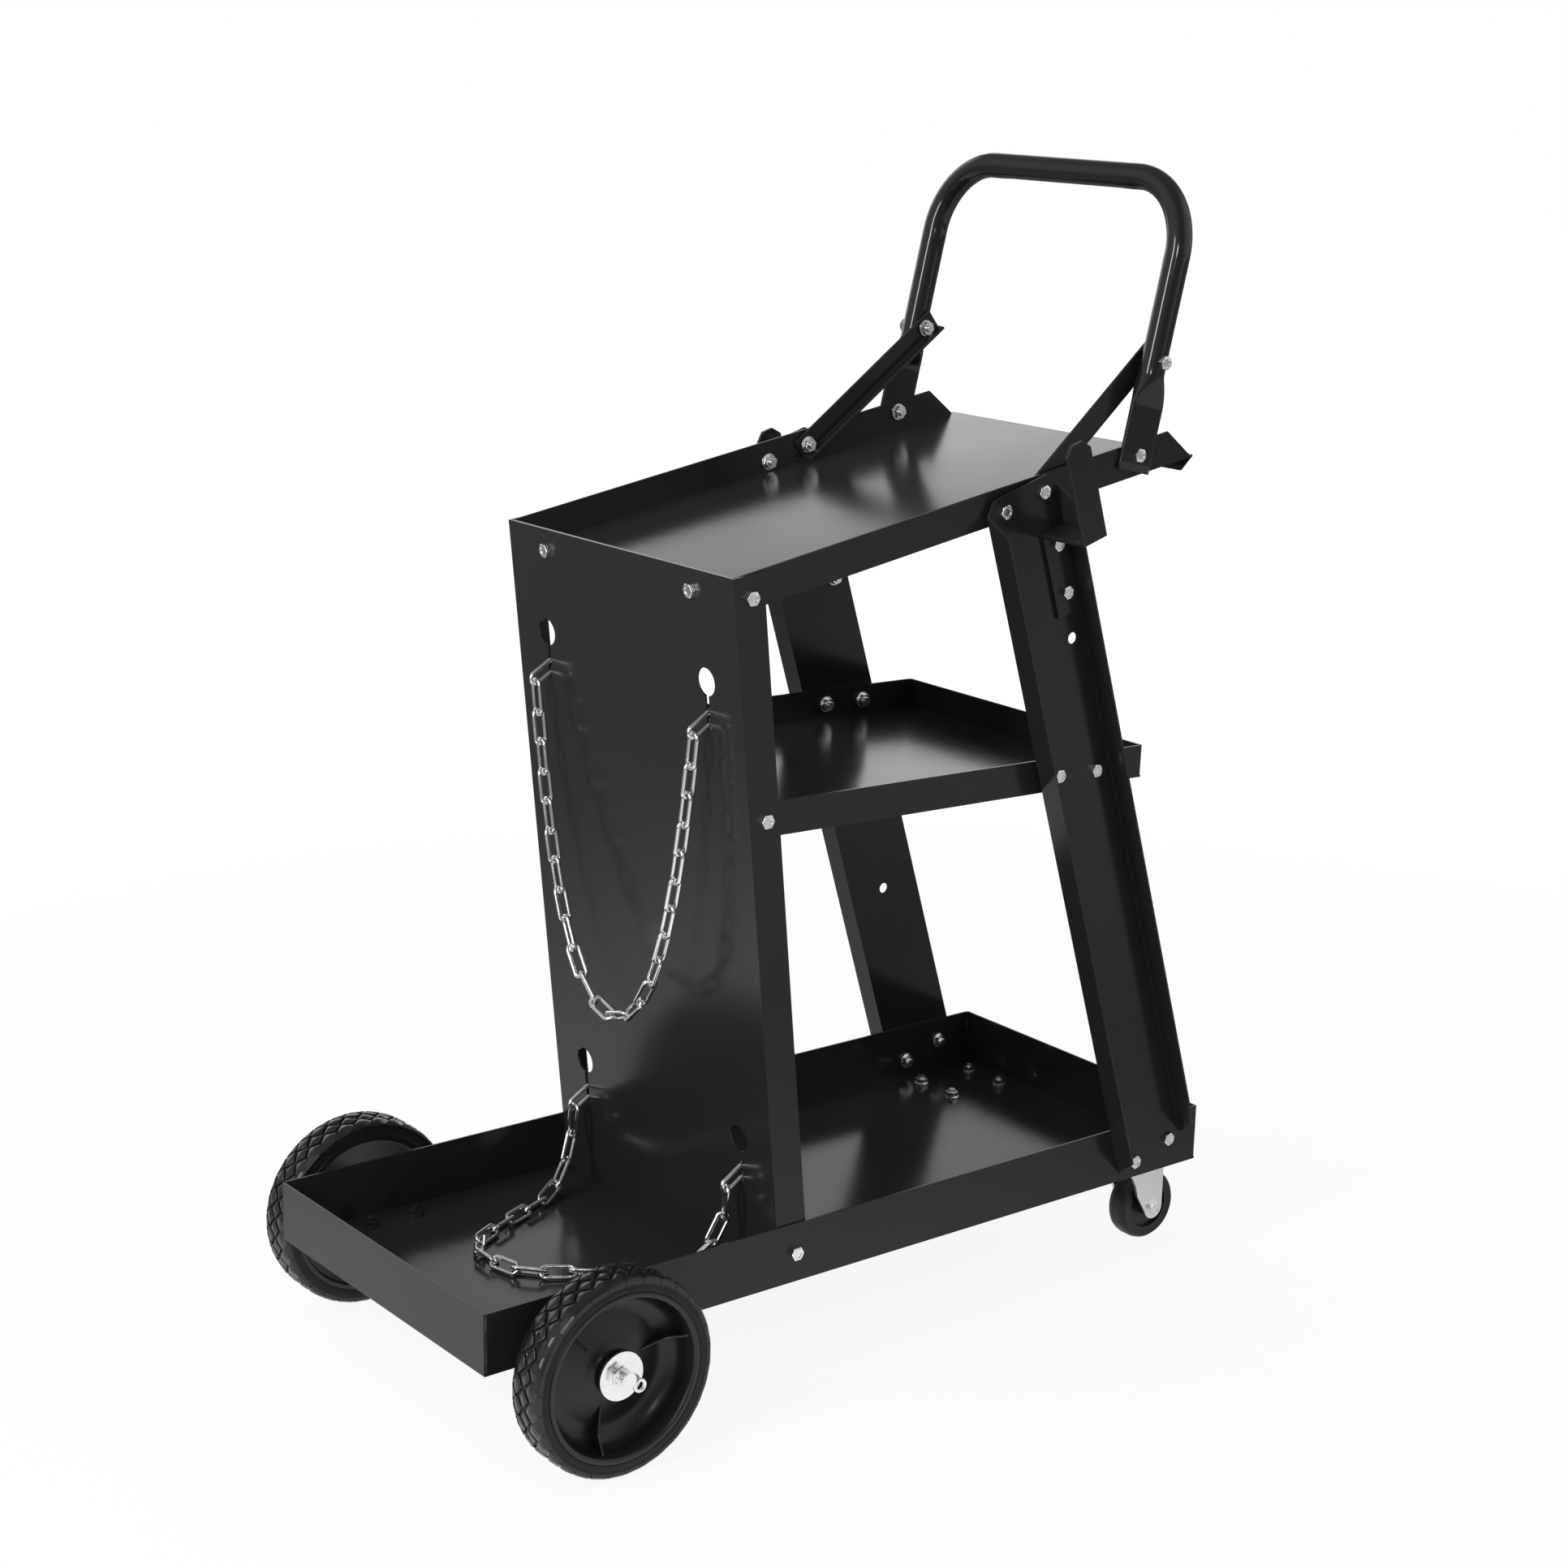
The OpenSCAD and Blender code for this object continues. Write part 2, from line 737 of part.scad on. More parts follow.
module left_split_pin() {
    color("silver") on_floor() split_pin();
}

module right_split_pin() {
    color("silver") on_floor() on_right() split_pin();
}

// Turns a profile of [radius, distance out of the tray's wall] about the axle, on the left
module turned(profile) {
    at_axle() translate([0, -tray_side, 0]) rotate([90, 0, 0]) rotate_extrude($fn = 96) polygon(profile);
}

module tyre() {
    r = wheel_d / 2;
    turned([
        [rim_r, wheel_in + rim_step], [r - shoulder, wheel_in], [r - crown, wheel_in + shoulder],
        [r, (wheel_in + wheel_out) / 2],
        [r - crown, wheel_out - shoulder], [r - shoulder, wheel_out], [rim_r, wheel_out - rim_step]
    ]);
}

module left_tyre() {
    color([0.1, 0.1, 0.1]) on_floor() tyre();
}

module right_tyre() {
    color([0.1, 0.1, 0.1]) on_floor() on_right() tyre();
}

// Points on an arc, from one angle to another
function arc(centre, r, from, to, steps = 10) = [
    for (i = [0:steps]) let (a = from + (to - from) * i / steps) centre + r * [cos(a), sin(a)]
];

// Moulded wheel: rim, dished web, boss round the axle and three thin ribs
module wheel_hub() {
    edge = wheel_in + dish_edge;
    middle = hub_out - dish_boss;
    slope = atan2(middle - edge, dish_r - dish_round - boss_r);
    turned(concat(
        [[hub_bore, hub_in], [boss_r, hub_in], [boss_r, middle - web_t]],
        [[dish_r, edge - web_t], [dish_r, wheel_in + rim_step], [rim_r, wheel_in + rim_step]],
        [[rim_r, wheel_out - rim_step], [rim_r - lip_w, wheel_out + lip_up], [dish_r + lip_w / 2, wheel_out]],
        arc([dish_r - dish_round, edge + dish_round], dish_round, 0, -90 - slope, 8),
        [[boss_r + lip_w, middle], [boss_r, middle + lip_w], [boss_r, hub_out], [hub_bore, hub_out]]
    ));
    for (turn = rib_turns) at_axle() translate([0, -tray_side, 0]) rotate([90, turn, 0]) rotate([90, 0, 0])
        linear_extrude(rib_t, center = true) polygon([
            [boss_r + rib_in, middle - web_t], [dish_r + rim_step, edge - rim_step],
            [dish_r + rim_step, wheel_out - rib_out], [dish_r - dish_round, edge + dish_round]
        ]);
}

module left_wheel_hub() {
    color([0.1, 0.1, 0.1]) on_floor() wheel_hub();
}

module right_wheel_hub() {
    color([0.1, 0.1, 0.1]) on_floor() on_right() wheel_hub();
}

// ---------------------------------------------------------------- casters

// A caster's frame on the left: the swivel axis is +Z and the tray's underside is z = 0
module in_caster() {
    translate([swivel_x, -caster_y, 0]) children();
}

// A caster's axle, along Y through the origin
module at_caster_axle() {
    in_caster() translate([trail, 0, caster_axle_z]) children();
}

module caster_hole_places() {
    for (side = [-1, 1], x = [-caster_bolt_x, caster_bolt_x], y = [-caster_bolt_y, caster_bolt_y]) {
        translate([swivel_x + x, side * caster_y + y, 0]) children();
    }
}

module caster_plate() {
    difference() {
        in_caster() {
            translate([-caster_plate_l / 2, -caster_plate_w / 2, -caster_t])
                cube([caster_plate_l, caster_plate_w, caster_t]);
            translate([0, 0, -caster_t - race_h]) cylinder(d = race_d, h = race_h);
        }
        in_caster() translate([0, 0, -caster_t - race_h - cut])
            cylinder(r = kingpin_r + fit_gap, h = caster_t + race_h + 2 * cut);
        caster_hole_places() cylinder(d = bolt_hole, h = 4 * caster_t, center = true);
    }
}

module left_caster_plate() {
    color("silver") on_floor() caster_plate();
}

module right_caster_plate() {
    color("silver") on_floor() on_right() caster_plate();
}

module kingpin() {
    head_z = crown_z - caster_t - move_gap;
    in_caster() {
        translate([0, 0, head_z - cut]) cylinder(r = kingpin_r, h = cut - fit_gap - head_z);
        translate([0, 0, head_z - kingpin_head_h]) cylinder(r = kingpin_head_r, h = kingpin_head_h);
    }
}

module left_kingpin() {
    color("silver") on_floor() kingpin();
}

module right_kingpin() {
    color("silver") on_floor() on_right() kingpin();
}

// Outline of a fork's leg, seen from the side
function fork_outline() = concat(
    [[-fork_back, crown_z], [-fork_back, crown_z - caster_t], fork_neck],
    arc(fork_throat, fork_throat_r, fork_throat_turn[0], fork_throat_turn[1], 6),
    arc([trail, caster_axle_z], fork_end_r, fork_end_turn[0], fork_end_turn[1], 12),
    [[fork_front, crown_z - fork_chamfer[1]], [fork_front - fork_chamfer[0], crown_z]]
);

module caster_fork() {
    in_caster() difference() {
        union() {
            translate([0, 0, crown_z - caster_t]) linear_extrude(caster_t) {
                circle(r = crown_r);
                translate([0, -fork_out]) square([fork_front - fork_chamfer[0], 2 * fork_out]);
            }
            for (y = [-fork_in, fork_out]) translate([0, y, 0]) rotate([90, 0, 0])
                linear_extrude(caster_t) polygon(fork_outline());
        }
        cylinder(r = kingpin_r + run_gap, h = caster_d, center = true);
        translate([trail, 0, caster_axle_z]) hole_y(bolt_d + 2 * fit_gap, 4 * fork_out);
    }
}

module left_caster_fork() {
    color("silver") on_floor() caster_fork();
}

module right_caster_fork() {
    color("silver") on_floor() on_right() caster_fork();
}

module caster_bush() {
    at_caster_axle() difference() {
        hole_y(2 * bush_r, 2 * (fork_in - fit_gap));
        hole_y(bolt_d + 2 * fit_gap, 4 * fork_in);
    }
}

module left_caster_bush() {
    color("gray") on_floor() caster_bush();
}

module right_caster_bush() {
    color("gray") on_floor() on_right() caster_bush();
}

module left_caster_axle() {
    color("silver") on_floor() at_caster_axle() translate([0, -fork_out, 0]) bolt(2 * fork_out);
}

module right_caster_axle() {
    color("silver") on_floor() on_right() at_caster_axle() translate([0, -fork_out, 0]) bolt(2 * fork_out);
}

module left_caster_nut() {
    color("silver") on_floor() at_caster_axle() translate([0, fork_out, 0]) nut();
}

module right_caster_nut() {
    color("silver") on_floor() on_right() at_caster_axle() translate([0, fork_out, 0]) nut();
}

// Turns a profile of [radius, distance from the wheel's middle] about a caster's axle
module caster_turned(profile) {
    at_caster_axle() rotate([90, 0, 0]) rotate_extrude($fn = 72) polygon(profile);
}

// One side of a profile and its mirror image, as one closed outline
function both_sides(half) = concat(half, [for (i = [len(half) - 1:-1:0]) [half[i][0], -half[i][1]]]);

module caster_wheel() {
    half = caster_w / 2;
    web = half - caster_web_in;
    caster_turned(both_sides([
        [bush_r + run_gap, caster_hub_half], [caster_hub_r, caster_hub_half], [caster_hub_r, web],
        [caster_rim_r - caster_rim_t, web], [caster_rim_r - caster_rim_t, half - caster_rim_in],
        [caster_rim_r, half - caster_rim_in]
    ]));
}

module caster_tyre() {
    half = caster_w / 2;
    caster_turned(both_sides(concat(
        [[caster_rim_r, half - caster_rim_in]],
        [for (p = caster_shoulder) [caster_d / 2 - p[0], half - p[1]]]
    )));
}

module left_caster_wheel() {
    color([0.15, 0.15, 0.15]) on_floor() caster_wheel();
}

module right_caster_wheel() {
    color([0.15, 0.15, 0.15]) on_floor() on_right() caster_wheel();
}

module left_caster_tyre() {
    color([0.1, 0.1, 0.1]) on_floor() caster_tyre();
}

module right_caster_tyre() {
    color([0.1, 0.1, 0.1]) on_floor() on_right() caster_tyre();
}

// ---------------------------------------------------------------- groups of fasteners

module caster_bolts() {
    color("silver") on_floor() caster_hole_places() translate([0, 0, -caster_t])
        rotate([90, 0, 0]) bolt(caster_t + sheet);
}

module caster_nuts() {
    color("silver") on_floor() caster_hole_places() translate([0, 0, sheet]) rotate([90, 0, 0]) nut();
}

module strap_bolts() {
    color("silver") on_floor() strap_hole_places() translate([0, 0, -strap_t])
        rotate([90, 0, 0]) bolt(strap_t + sheet);
}

module strap_nuts() {
    color("silver") on_floor() strap_hole_places() translate([0, 0, sheet]) rotate([90, 0, 0]) nut();
}

// The plate's side bolts go in from outside: the lowest through the tray, the others into a shelf
module plate_side_bolts() {
    two_sheets = 2 * sheet + fit_gap;
    plate_bolt_place(plate_bolt_z[0]) translate([0, -tray_side, 0]) bolt(two_sheets);
    for (i = [1, 2]) plate_bolt_place(plate_bolt_z[i]) translate([0, -plate_side, 0]) bolt(two_sheets);
}

module plate_side_nuts() {
    plate_bolt_place(plate_bolt_z[0]) translate([0, -plate_side + sheet, 0]) nut();
    for (i = [1, 2]) plate_bolt_place(plate_bolt_z[i]) translate([0, -shelf_side + sheet, 0]) nut();
}

// The places of the two bolts in the plate's face, with +Y out of its back
module plate_face_places() {
    for (y = [-plate_face_bolt_y, plate_face_bolt_y]) {
        in_plate() translate([0, y, plate_face_bolt_z / cos(plate_lean)]) rotate([0, 0, -90]) children();
    }
}

module plate_bolts() {
    color("silver") on_floor() {
        plate_side_bolts();
        on_right() plate_side_bolts();
        plate_face_places() bolt(2 * sheet + fit_gap);
    }
}

module plate_nuts() {
    color("silver") on_floor() {
        plate_side_nuts();
        on_right() plate_side_nuts();
        plate_face_places() translate([0, 2 * sheet + 2 * fit_gap, 0]) nut();
    }
}

module leg_bolt_set() {
    shelf_grip = 2 * sheet + leg_pad;
    in_leg() translate([0, -sheet, 0]) {
        translate([0, 0, leg_bottom_bolts]) pair(hole_pitch) bolt(2 * sheet);
        translate([0, 0, leg_mid_bolts]) rotate([0, leg_mid_turn, 0]) pair(hole_pitch) bolt(shelf_grip);
        translate([-hole_pitch / 2, 0, leg_top_bolts]) bolt(shelf_grip);
        translate([hole_pitch / 2, 0, leg_top_bolts]) bolt(sheet + brace_nut_in);
    }
}

module leg_nut_set() {
    in_shelf = leg_pad + sheet;
    in_leg() {
        translate([0, sheet, leg_bottom_bolts]) pair(hole_pitch) nut();
        translate([0, in_shelf, leg_mid_bolts]) rotate([0, leg_mid_turn, 0]) pair(hole_pitch) nut();
        translate([-hole_pitch / 2, in_shelf, leg_top_bolts]) nut();
        translate([hole_pitch / 2, brace_nut_in, leg_top_bolts]) nut();
    }
}

module leg_bolts() {
    color("silver") on_floor() {
        leg_bolt_set();
        on_right() leg_bolt_set();
    }
}

module leg_nuts() {
    color("silver") on_floor() {
        leg_nut_set();
        on_right() leg_nut_set();
    }
}

// The two holes of a leg's row that hold its hook
module hook_places(first) {
    in_leg() for (i = [first, first + 1]) translate([leg_row, 0, row_top - i * hole_pitch]) children();
}

module hook_bolts() {
    color("silver") on_floor() {
        hook_places(left_hook_hole) translate([0, -sheet - hook_t, 0]) bolt(sheet + hook_t);
        on_right() hook_places(right_hook_hole) translate([0, -sheet - hook_t, 0]) bolt(sheet + hook_t);
    }
}

module hook_nuts() {
    color("silver") on_floor() {
        hook_places(left_hook_hole) nut();
        on_right() hook_places(right_hook_hole) nut();
    }
}

module handle_bolt_set() {
    brace_grip = handle_y + tube_d / 2 + brace_high_y + brace_t + brace_seat;
    in_handle() {
        translate([0, -shelf_side - flat_t, 0]) bolt(flat_t + sheet);
        translate([0, -handle_y - tube_d / 2, handle_pitch]) bolt(brace_grip);
    }
}

module handle_nut_set() {
    in_handle() {
        translate([0, -shelf_side + sheet, 0]) nut();
        translate([0, brace_high_y + brace_t + brace_seat, handle_pitch]) nut();
    }
}

module handle_bolts() {
    color("silver") on_floor() {
        handle_bolt_set();
        on_right() handle_bolt_set();
    }
}

module handle_nuts() {
    color("silver") on_floor() {
        handle_nut_set();
        on_right() handle_nut_set();
    }
}

// ---------------------------------------------------------------- chains

// One link, its length along +Z and its flat plane XZ
module link() {
    $fn = wire_facets;
    for (x = [-link_r, link_r]) translate([x, 0, 0]) cylinder(d = wire_d, h = link_straight, center = true);
    for (turn = [0, 180]) rotate([0, turn, 0]) translate([0, 0, link_straight / 2]) rotate([90, 0, 0])
        rotate_extrude(angle = 180) translate([link_r, 0]) circle(d = wire_d);
}

function unit(v) = v / norm(v);

// A link between two places. At no roll its flat plane holds the direction ref.
module link_between(from, to, ref, roll) {
    along = unit(to - from);
    side = unit(cross(along, ref));
    face = cross(side, along);
    centre = (from + to) / 2;
    multmatrix([
        [face[0], side[0], along[0], centre[0]],
        [face[1], side[1], along[1], centre[1]],
        [face[2], side[2], along[2], centre[2]],
        [0, 0, 0, 1]
    ]) rotate([0, 0, roll]) link();
}

// A point in the plate's frame, as [along the tray, up]
function plate_point(out, up) = [
    plate_x + out * cos(plate_lean) - up * sin(plate_lean),
    out * sin(plate_lean) + up * cos(plate_lean)
];

// Where an end link swings, behind the plate, in the slot of the keyhole at this height
function swing_point(key_z) = plate_point(end_back, (key_z - chain_drop) / cos(plate_lean));

// The two ends of an end link: behind the plate and out in front of it
function end_back_point(key_z, side) = let (p = swing_point(key_z))
    [p[0], side * key_y, p[1]] - wire_d / 2 * end_dir;
function end_front_point(key_z, side) = end_back_point(key_z, side) + link_pitch * end_dir;

// Where the hanging links start: the first one rests in the round of the end link
function hang_start(key_z, side) = (end_back_point(key_z, side) + end_front_point(key_z, side)) / 2
    + link_straight / 2 * end_dir - [0, 0, link_in_w / 2];

// Hanging curve: half the span over the curve's own size, found by halving
function sinh(u) = (exp(u) - exp(-u)) / 2;
function cosh(u) = (exp(u) + exp(-u)) / 2;
function hang_ratio(slack, low = 0.01, high = 6, left = 40) = let (mid = (low + high) / 2)
    left == 0 ? mid
    : sinh(mid) / mid > slack ? hang_ratio(slack, low, mid, left - 1)
    : hang_ratio(slack, mid, high, left - 1);

hang_l = upper_links * link_pitch;
hang_u = hang_ratio(hang_l / (2 * key_y));
hang_a = key_y / hang_u;

// Place on the hanging curve, a length along it from its lowest point towards the left
function hang_point(s) = let (start = hang_start(upper_key_z, 1), t = s / hang_a, rise = sqrt(t * t + 1))
    [start[0], -hang_a * ln(t + rise), start[2] + hang_a * (rise - cosh(hang_u))];

upper_route = [for (i = [0:upper_links]) hang_point(hang_l * (i / upper_links - 1 / 2))];

// The lower chain drops to the tray's floor, runs out towards the front and comes back
lay_z = sheet + link_r * sin(45) + wire_d / 2 + link_clear;
lower_bends = [
    hang_start(lower_key_z, 1), [233, 100, 31], [200, 82, lay_z], [136, 55, lay_z], [104, 31, lay_z],
    [108, -21, lay_z], [142, -48, lay_z], [194, -89, lay_z], [234, -100, 32], hang_start(lower_key_z, -1)
];

// Smooth curve through four places, from the second at t = 0 to the third at t = 1
function spline(a, b, c, d, t) = (2 * b + (c - a) * t + (2 * a - 5 * b + 4 * c - d) * pow(t, 2)
    + (3 * b - a - 3 * c + d) * pow(t, 3)) / 2;
function above_floor(p) = [p[0], p[1], max(p[2], lay_z)];
route_ends = len(lower_bends) - 1;
route_steps = 6;
lower_path = concat([for (i = [0:route_ends - 1], k = [0:route_steps - 1]) above_floor(spline(
    i == 0 ? 2 * lower_bends[0] - lower_bends[1] : lower_bends[i - 1],
    lower_bends[i],
    lower_bends[i + 1],
    i + 1 == route_ends ? 2 * lower_bends[i + 1] - lower_bends[i] : lower_bends[i + 2],
    k / route_steps
))], [lower_bends[route_ends]]);

function path_l(path, i = 0) = i >= len(path) - 1 ? 0 : norm(path[i + 1] - path[i]) + path_l(path, i + 1);
function on_path(path, s, i = 0) = let (step = norm(path[i + 1] - path[i]))
    i >= len(path) - 2 || s <= step ? path[i] + (path[i + 1] - path[i]) * s / step
    : on_path(path, s - step, i + 1);

lower_links = ceil(path_l(lower_path) / link_pitch);
lower_route = [for (i = [0:lower_links]) on_path(lower_path, path_l(lower_path) * i / lower_links)];

// How far link i is twisted: none at the start, all at the end, in even steps between two links
function twist(i, first, last, total) = total * min(1, max(0, (i - first) / (last - first)));

module end_link(key_z, side) {
    link_between(end_back_point(key_z, side), end_front_point(key_z, side), [1, 0, 0], 0);
}

module upper_chain() {
    middle = upper_links / 2;
    color("silver") on_floor() {
        for (side = [-1, 1]) end_link(upper_key_z, side);
        for (i = [1:upper_links]) {
            roll = quarter * i + twist(i, middle - 4, middle + 5, quarter);
            link_between(upper_route[i - 1], upper_route[i], [1, 0, 0], roll);
        }
    }
}

module lower_chain() {
    total = lower_links % 2 == 0 ? quarter : 0;
    color("silver") on_floor() {
        for (side = [-1, 1]) end_link(lower_key_z, side);
        for (i = [1:lower_links]) {
            roll = twist(i, 1, 4, quarter / 2) + twist(i, lower_links - 3, lower_links, total - quarter / 2);
            link_between(lower_route[i - 1], lower_route[i], [0, 0, 1], quarter * i + roll);
        }
    }
}

// Links behind the plate, which keep the chains from pulling out of their slots
module chain_end_links() {
    color("silver") on_floor() in_plate() for (side = [-1, 1], z = [upper_key_z, lower_key_z]) {
        hang = (z - chain_drop) / cos(plate_lean) - (link_in_l + wire_d) / 2;
        translate([end_back, side * key_y, hang]) rotate([0, 0, 90]) link();
    }
}

bottom_tray();
cylinder_plate();
middle_shelf();
top_shelf();
left_leg();
right_leg();
left_hook();
right_hook();
handle();
left_brace();
right_brace();
axle();
left_axle_strap();
right_axle_strap();
axle_spacers();
inner_washers();
outer_washers();
left_split_pin();
right_split_pin();
left_tyre();
left_wheel_hub();
right_tyre();
right_wheel_hub();
left_caster_plate();
right_caster_plate();
left_kingpin();
right_kingpin();
left_caster_fork();
right_caster_fork();
left_caster_bush();
right_caster_bush();
left_caster_axle();
right_caster_axle();
left_caster_nut();
right_caster_nut();
left_caster_wheel();
right_caster_wheel();
left_caster_tyre();
right_caster_tyre();
caster_bolts();
caster_nuts();
strap_bolts();
strap_nuts();
plate_bolts();
plate_nuts();
leg_bolts();
leg_nuts();
hook_bolts();
hook_nuts();
handle_bolts();
handle_nuts();
upper_chain();
lower_chain();
chain_end_links();
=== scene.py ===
"""Looks of the three-tier welding cart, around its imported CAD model. Lengths are in metres."""

import json
import math

import bmesh
import bpy
from mathutils import Matrix, Vector


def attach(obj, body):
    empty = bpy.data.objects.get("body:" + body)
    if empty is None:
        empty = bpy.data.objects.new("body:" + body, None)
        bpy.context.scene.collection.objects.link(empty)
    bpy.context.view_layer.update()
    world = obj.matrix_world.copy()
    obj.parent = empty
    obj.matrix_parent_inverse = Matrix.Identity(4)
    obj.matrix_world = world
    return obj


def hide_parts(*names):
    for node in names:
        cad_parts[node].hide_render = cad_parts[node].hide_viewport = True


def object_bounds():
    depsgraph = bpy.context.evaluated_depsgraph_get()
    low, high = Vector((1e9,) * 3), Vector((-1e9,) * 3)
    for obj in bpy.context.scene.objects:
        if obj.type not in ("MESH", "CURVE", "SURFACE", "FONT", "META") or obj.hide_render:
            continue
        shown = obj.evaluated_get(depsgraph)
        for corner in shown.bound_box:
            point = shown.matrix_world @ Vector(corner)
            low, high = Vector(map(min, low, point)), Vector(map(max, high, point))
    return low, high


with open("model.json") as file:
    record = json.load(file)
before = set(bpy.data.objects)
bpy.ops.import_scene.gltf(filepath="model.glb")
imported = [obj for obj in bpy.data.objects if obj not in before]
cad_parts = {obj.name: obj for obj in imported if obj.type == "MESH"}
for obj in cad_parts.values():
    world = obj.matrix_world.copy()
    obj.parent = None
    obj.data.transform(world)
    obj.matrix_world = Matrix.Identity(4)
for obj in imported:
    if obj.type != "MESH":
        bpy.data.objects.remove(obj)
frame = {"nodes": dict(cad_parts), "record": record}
nodes = frame["nodes"]
CAD_BOX = [list(corner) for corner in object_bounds()]
MM = 0.001


# ---------------------------------------------------------------- materials

class Shader:
    """A Principled material with a short way to add procedural nodes."""

    def __init__(self, name, **values):
        self.material = bpy.data.materials.new(name)
        self.material.use_nodes = True
        self.tree = self.material.node_tree
        self.bsdf = self.tree.nodes["Principled BSDF"]
        self.place = self.add("ShaderNodeTexCoord").outputs["Object"]
        for key, value in values.items():
            self.bsdf.inputs[key.replace("_", " ")].default_value = value

    def add(self, kind, **settings):
        node = self.tree.nodes.new(kind)
        for key, value in settings.items():
            setattr(node, key, value)
        return node

    def link(self, source, target):
        self.tree.links.new(source, target)

    def noise(self, scale, detail=3.0, roughness=0.5):
        node = self.add("ShaderNodeTexNoise")
        self.link(self.place, node.inputs["Vector"])
        node.inputs["Scale"].default_value = scale
        node.inputs["Detail"].default_value = detail
        node.inputs["Roughness"].default_value = roughness
        return node.outputs["Fac"]

    def ramp(self, factor, stops):
        """A colour ramp through (position, value) stops, where a value is a number or a colour."""
        node = self.add("ShaderNodeValToRGB")
        while len(node.color_ramp.elements) < len(stops):
            node.color_ramp.elements.new(0.5)
        for element, (position, value) in zip(node.color_ramp.elements, stops):
            element.position = position
            element.color = (*value, 1) if isinstance(value, tuple) else (value, value, value, 1)
        self.link(factor, node.inputs["Fac"])
        return node.outputs["Color"]

    def mix(self, factor, low, high, blend="MIX"):
        """Mixes two colours, each a tuple or a socket."""
        node = self.add("ShaderNodeMix", data_type="RGBA", blend_type=blend)
        sockets = (node.inputs["Factor"], node.inputs[6], node.inputs[7])
        for socket, value in zip(sockets, (factor, low, high)):
            if isinstance(value, bpy.types.NodeSocket):
                self.link(value, socket)
            else:
                socket.default_value = (*value, 1) if isinstance(value, tuple) else value
        return node.outputs[2]

    def colour(self, socket):
        self.link(socket, self.bsdf.inputs["Base Color"])

    def roughness(self, factor, low, high):
        self.link(self.ramp(factor, [(0.3, low), (0.7, high)]), self.bsdf.inputs["Roughness"])

    def bump(self, *layers):
        """Adds up bump layers of (height socket, height in metres)."""
        last = None
        for height, size in layers:
            node = self.add("ShaderNodeBump")
            node.inputs["Distance"].default_value = size
            self.link(height, node.inputs["Height"])
            if last:
                self.link(last, node.inputs["Normal"])
            last = node.outputs["Normal"]
        self.link(last, self.bsdf.inputs["Normal"])


def powder_coat(name, shade, low, high, peel=3e-6, specular=0.3):
    """Semi-gloss black powder coat: fine orange peel, faint clouds of gloss and a little dust."""
    s = Shader(name, Specular_IOR_Level=specular)
    dust = s.ramp(s.noise(900, 1), [(0.0, 0.0), (0.7, 0.0), (0.8, 0.5)])
    tone = s.mix(s.noise(5, 2), (shade * 0.85,) * 3, (shade * 1.15,) * 3)
    s.colour(s.mix(dust, tone, (shade * 2.0,) * 3))
    s.roughness(s.noise(9, 3), low, high)
    s.bump((s.noise(500, 1), peel), (s.noise(24, 1), peel * 6))
    return s.material


def zinc(name, shade, low, high):
    """Bright zinc plate: a fine satin grain with cloudy passivation."""
    s = Shader(name, Metallic=1.0)
    clouds = s.noise(90, 2)
    dull = (shade * 0.93, shade * 0.94, shade * 0.95)
    s.colour(s.ramp(clouds, [(0.3, dull), (0.7, (shade, shade, shade * 1.01))]))
    s.roughness(s.noise(160, 2), low, high)
    s.bump((s.noise(700, 1), 1.2e-6))
    return s.material


def rubber(name, shade, low, high, specular=0.4):
    """Moulded rubber with a dusty bloom and a fine grain."""
    s = Shader(name, Specular_IOR_Level=specular)
    bloom = s.noise(45, 5)
    s.colour(s.ramp(bloom, [(0.35, (shade * 0.8,) * 3), (0.75, (shade * 1.5,) * 3)]))
    s.roughness(s.noise(90, 4), low, high)
    s.bump((s.noise(1400, 3), 14e-6))
    return s.material


def plastic(name, shade, low, high):
    """Moulded plastic with a fine leathery grain and soft flow marks."""
    s = Shader(name, Specular_IOR_Level=0.4)
    s.colour(s.ramp(s.noise(20, 3), [(0.3, (shade * 0.9,) * 3), (0.7, (shade * 1.15,) * 3)]))
    s.roughness(s.noise(30, 3), low, high)
    s.bump((s.noise(1100, 2), 9e-6), (s.noise(60, 2), 20e-6))
    return s.material


SHEET = powder_coat("black_sheet", 0.019, 0.15, 0.2)
# The sheets' bevel faces get a lighter, glossier copy of the paint, which paints a highlight along every
# edge
SHEET_PAINTED_HIGHLIGHT = powder_coat("black_sheet_painted_edge_highlight", 0.035, 0.2, 0.3, specular=0.5)
TUBE = powder_coat("black_tube", 0.012, 0.08, 0.13, peel=1.5e-6, specular=0.5)
ZINC = zinc("zinc_steel", 0.93, 0.16, 0.25)
CHAIN = zinc("zinc_chain", 0.95, 0.1, 0.18)
TYRE = rubber("tyre_rubber", 0.009, 0.5, 0.62, 0.3)
TREAD = rubber("tyre_tread", 0.01, 0.22, 0.32, 0.5)
HUB = plastic("hub_plastic", 0.016, 0.27, 0.36)
CASTER_TYRE = rubber("caster_rubber", 0.014, 0.34, 0.5)
CASTER_WHEEL = plastic("caster_plastic", 0.014, 0.25, 0.35)


# ---------------------------------------------------------------- mesh tools

def body_of(node):
    bodies = frame["record"]["behaviour"]["bodies"]
    return next(body for body, members in bodies.items() if node in members)


def slot_of(node):
    parts = frame["record"]["subparts"]
    return next(part["material_slot"] for part in parts if part["node"] == node)


def plain_mesh(bm, name):
    """Writes a mesh out under a name and lets go of what it was built in."""
    mesh = bpy.data.meshes.new(name)
    bm.to_mesh(mesh)
    bm.free()
    return mesh


def wall(bm, low, high):
    """Closes the band between two rings of as many points."""
    for i in range(len(low)):
        k = (i + 1) % len(low)
        bm.faces.new((low[i], low[k], high[k], high[i]))


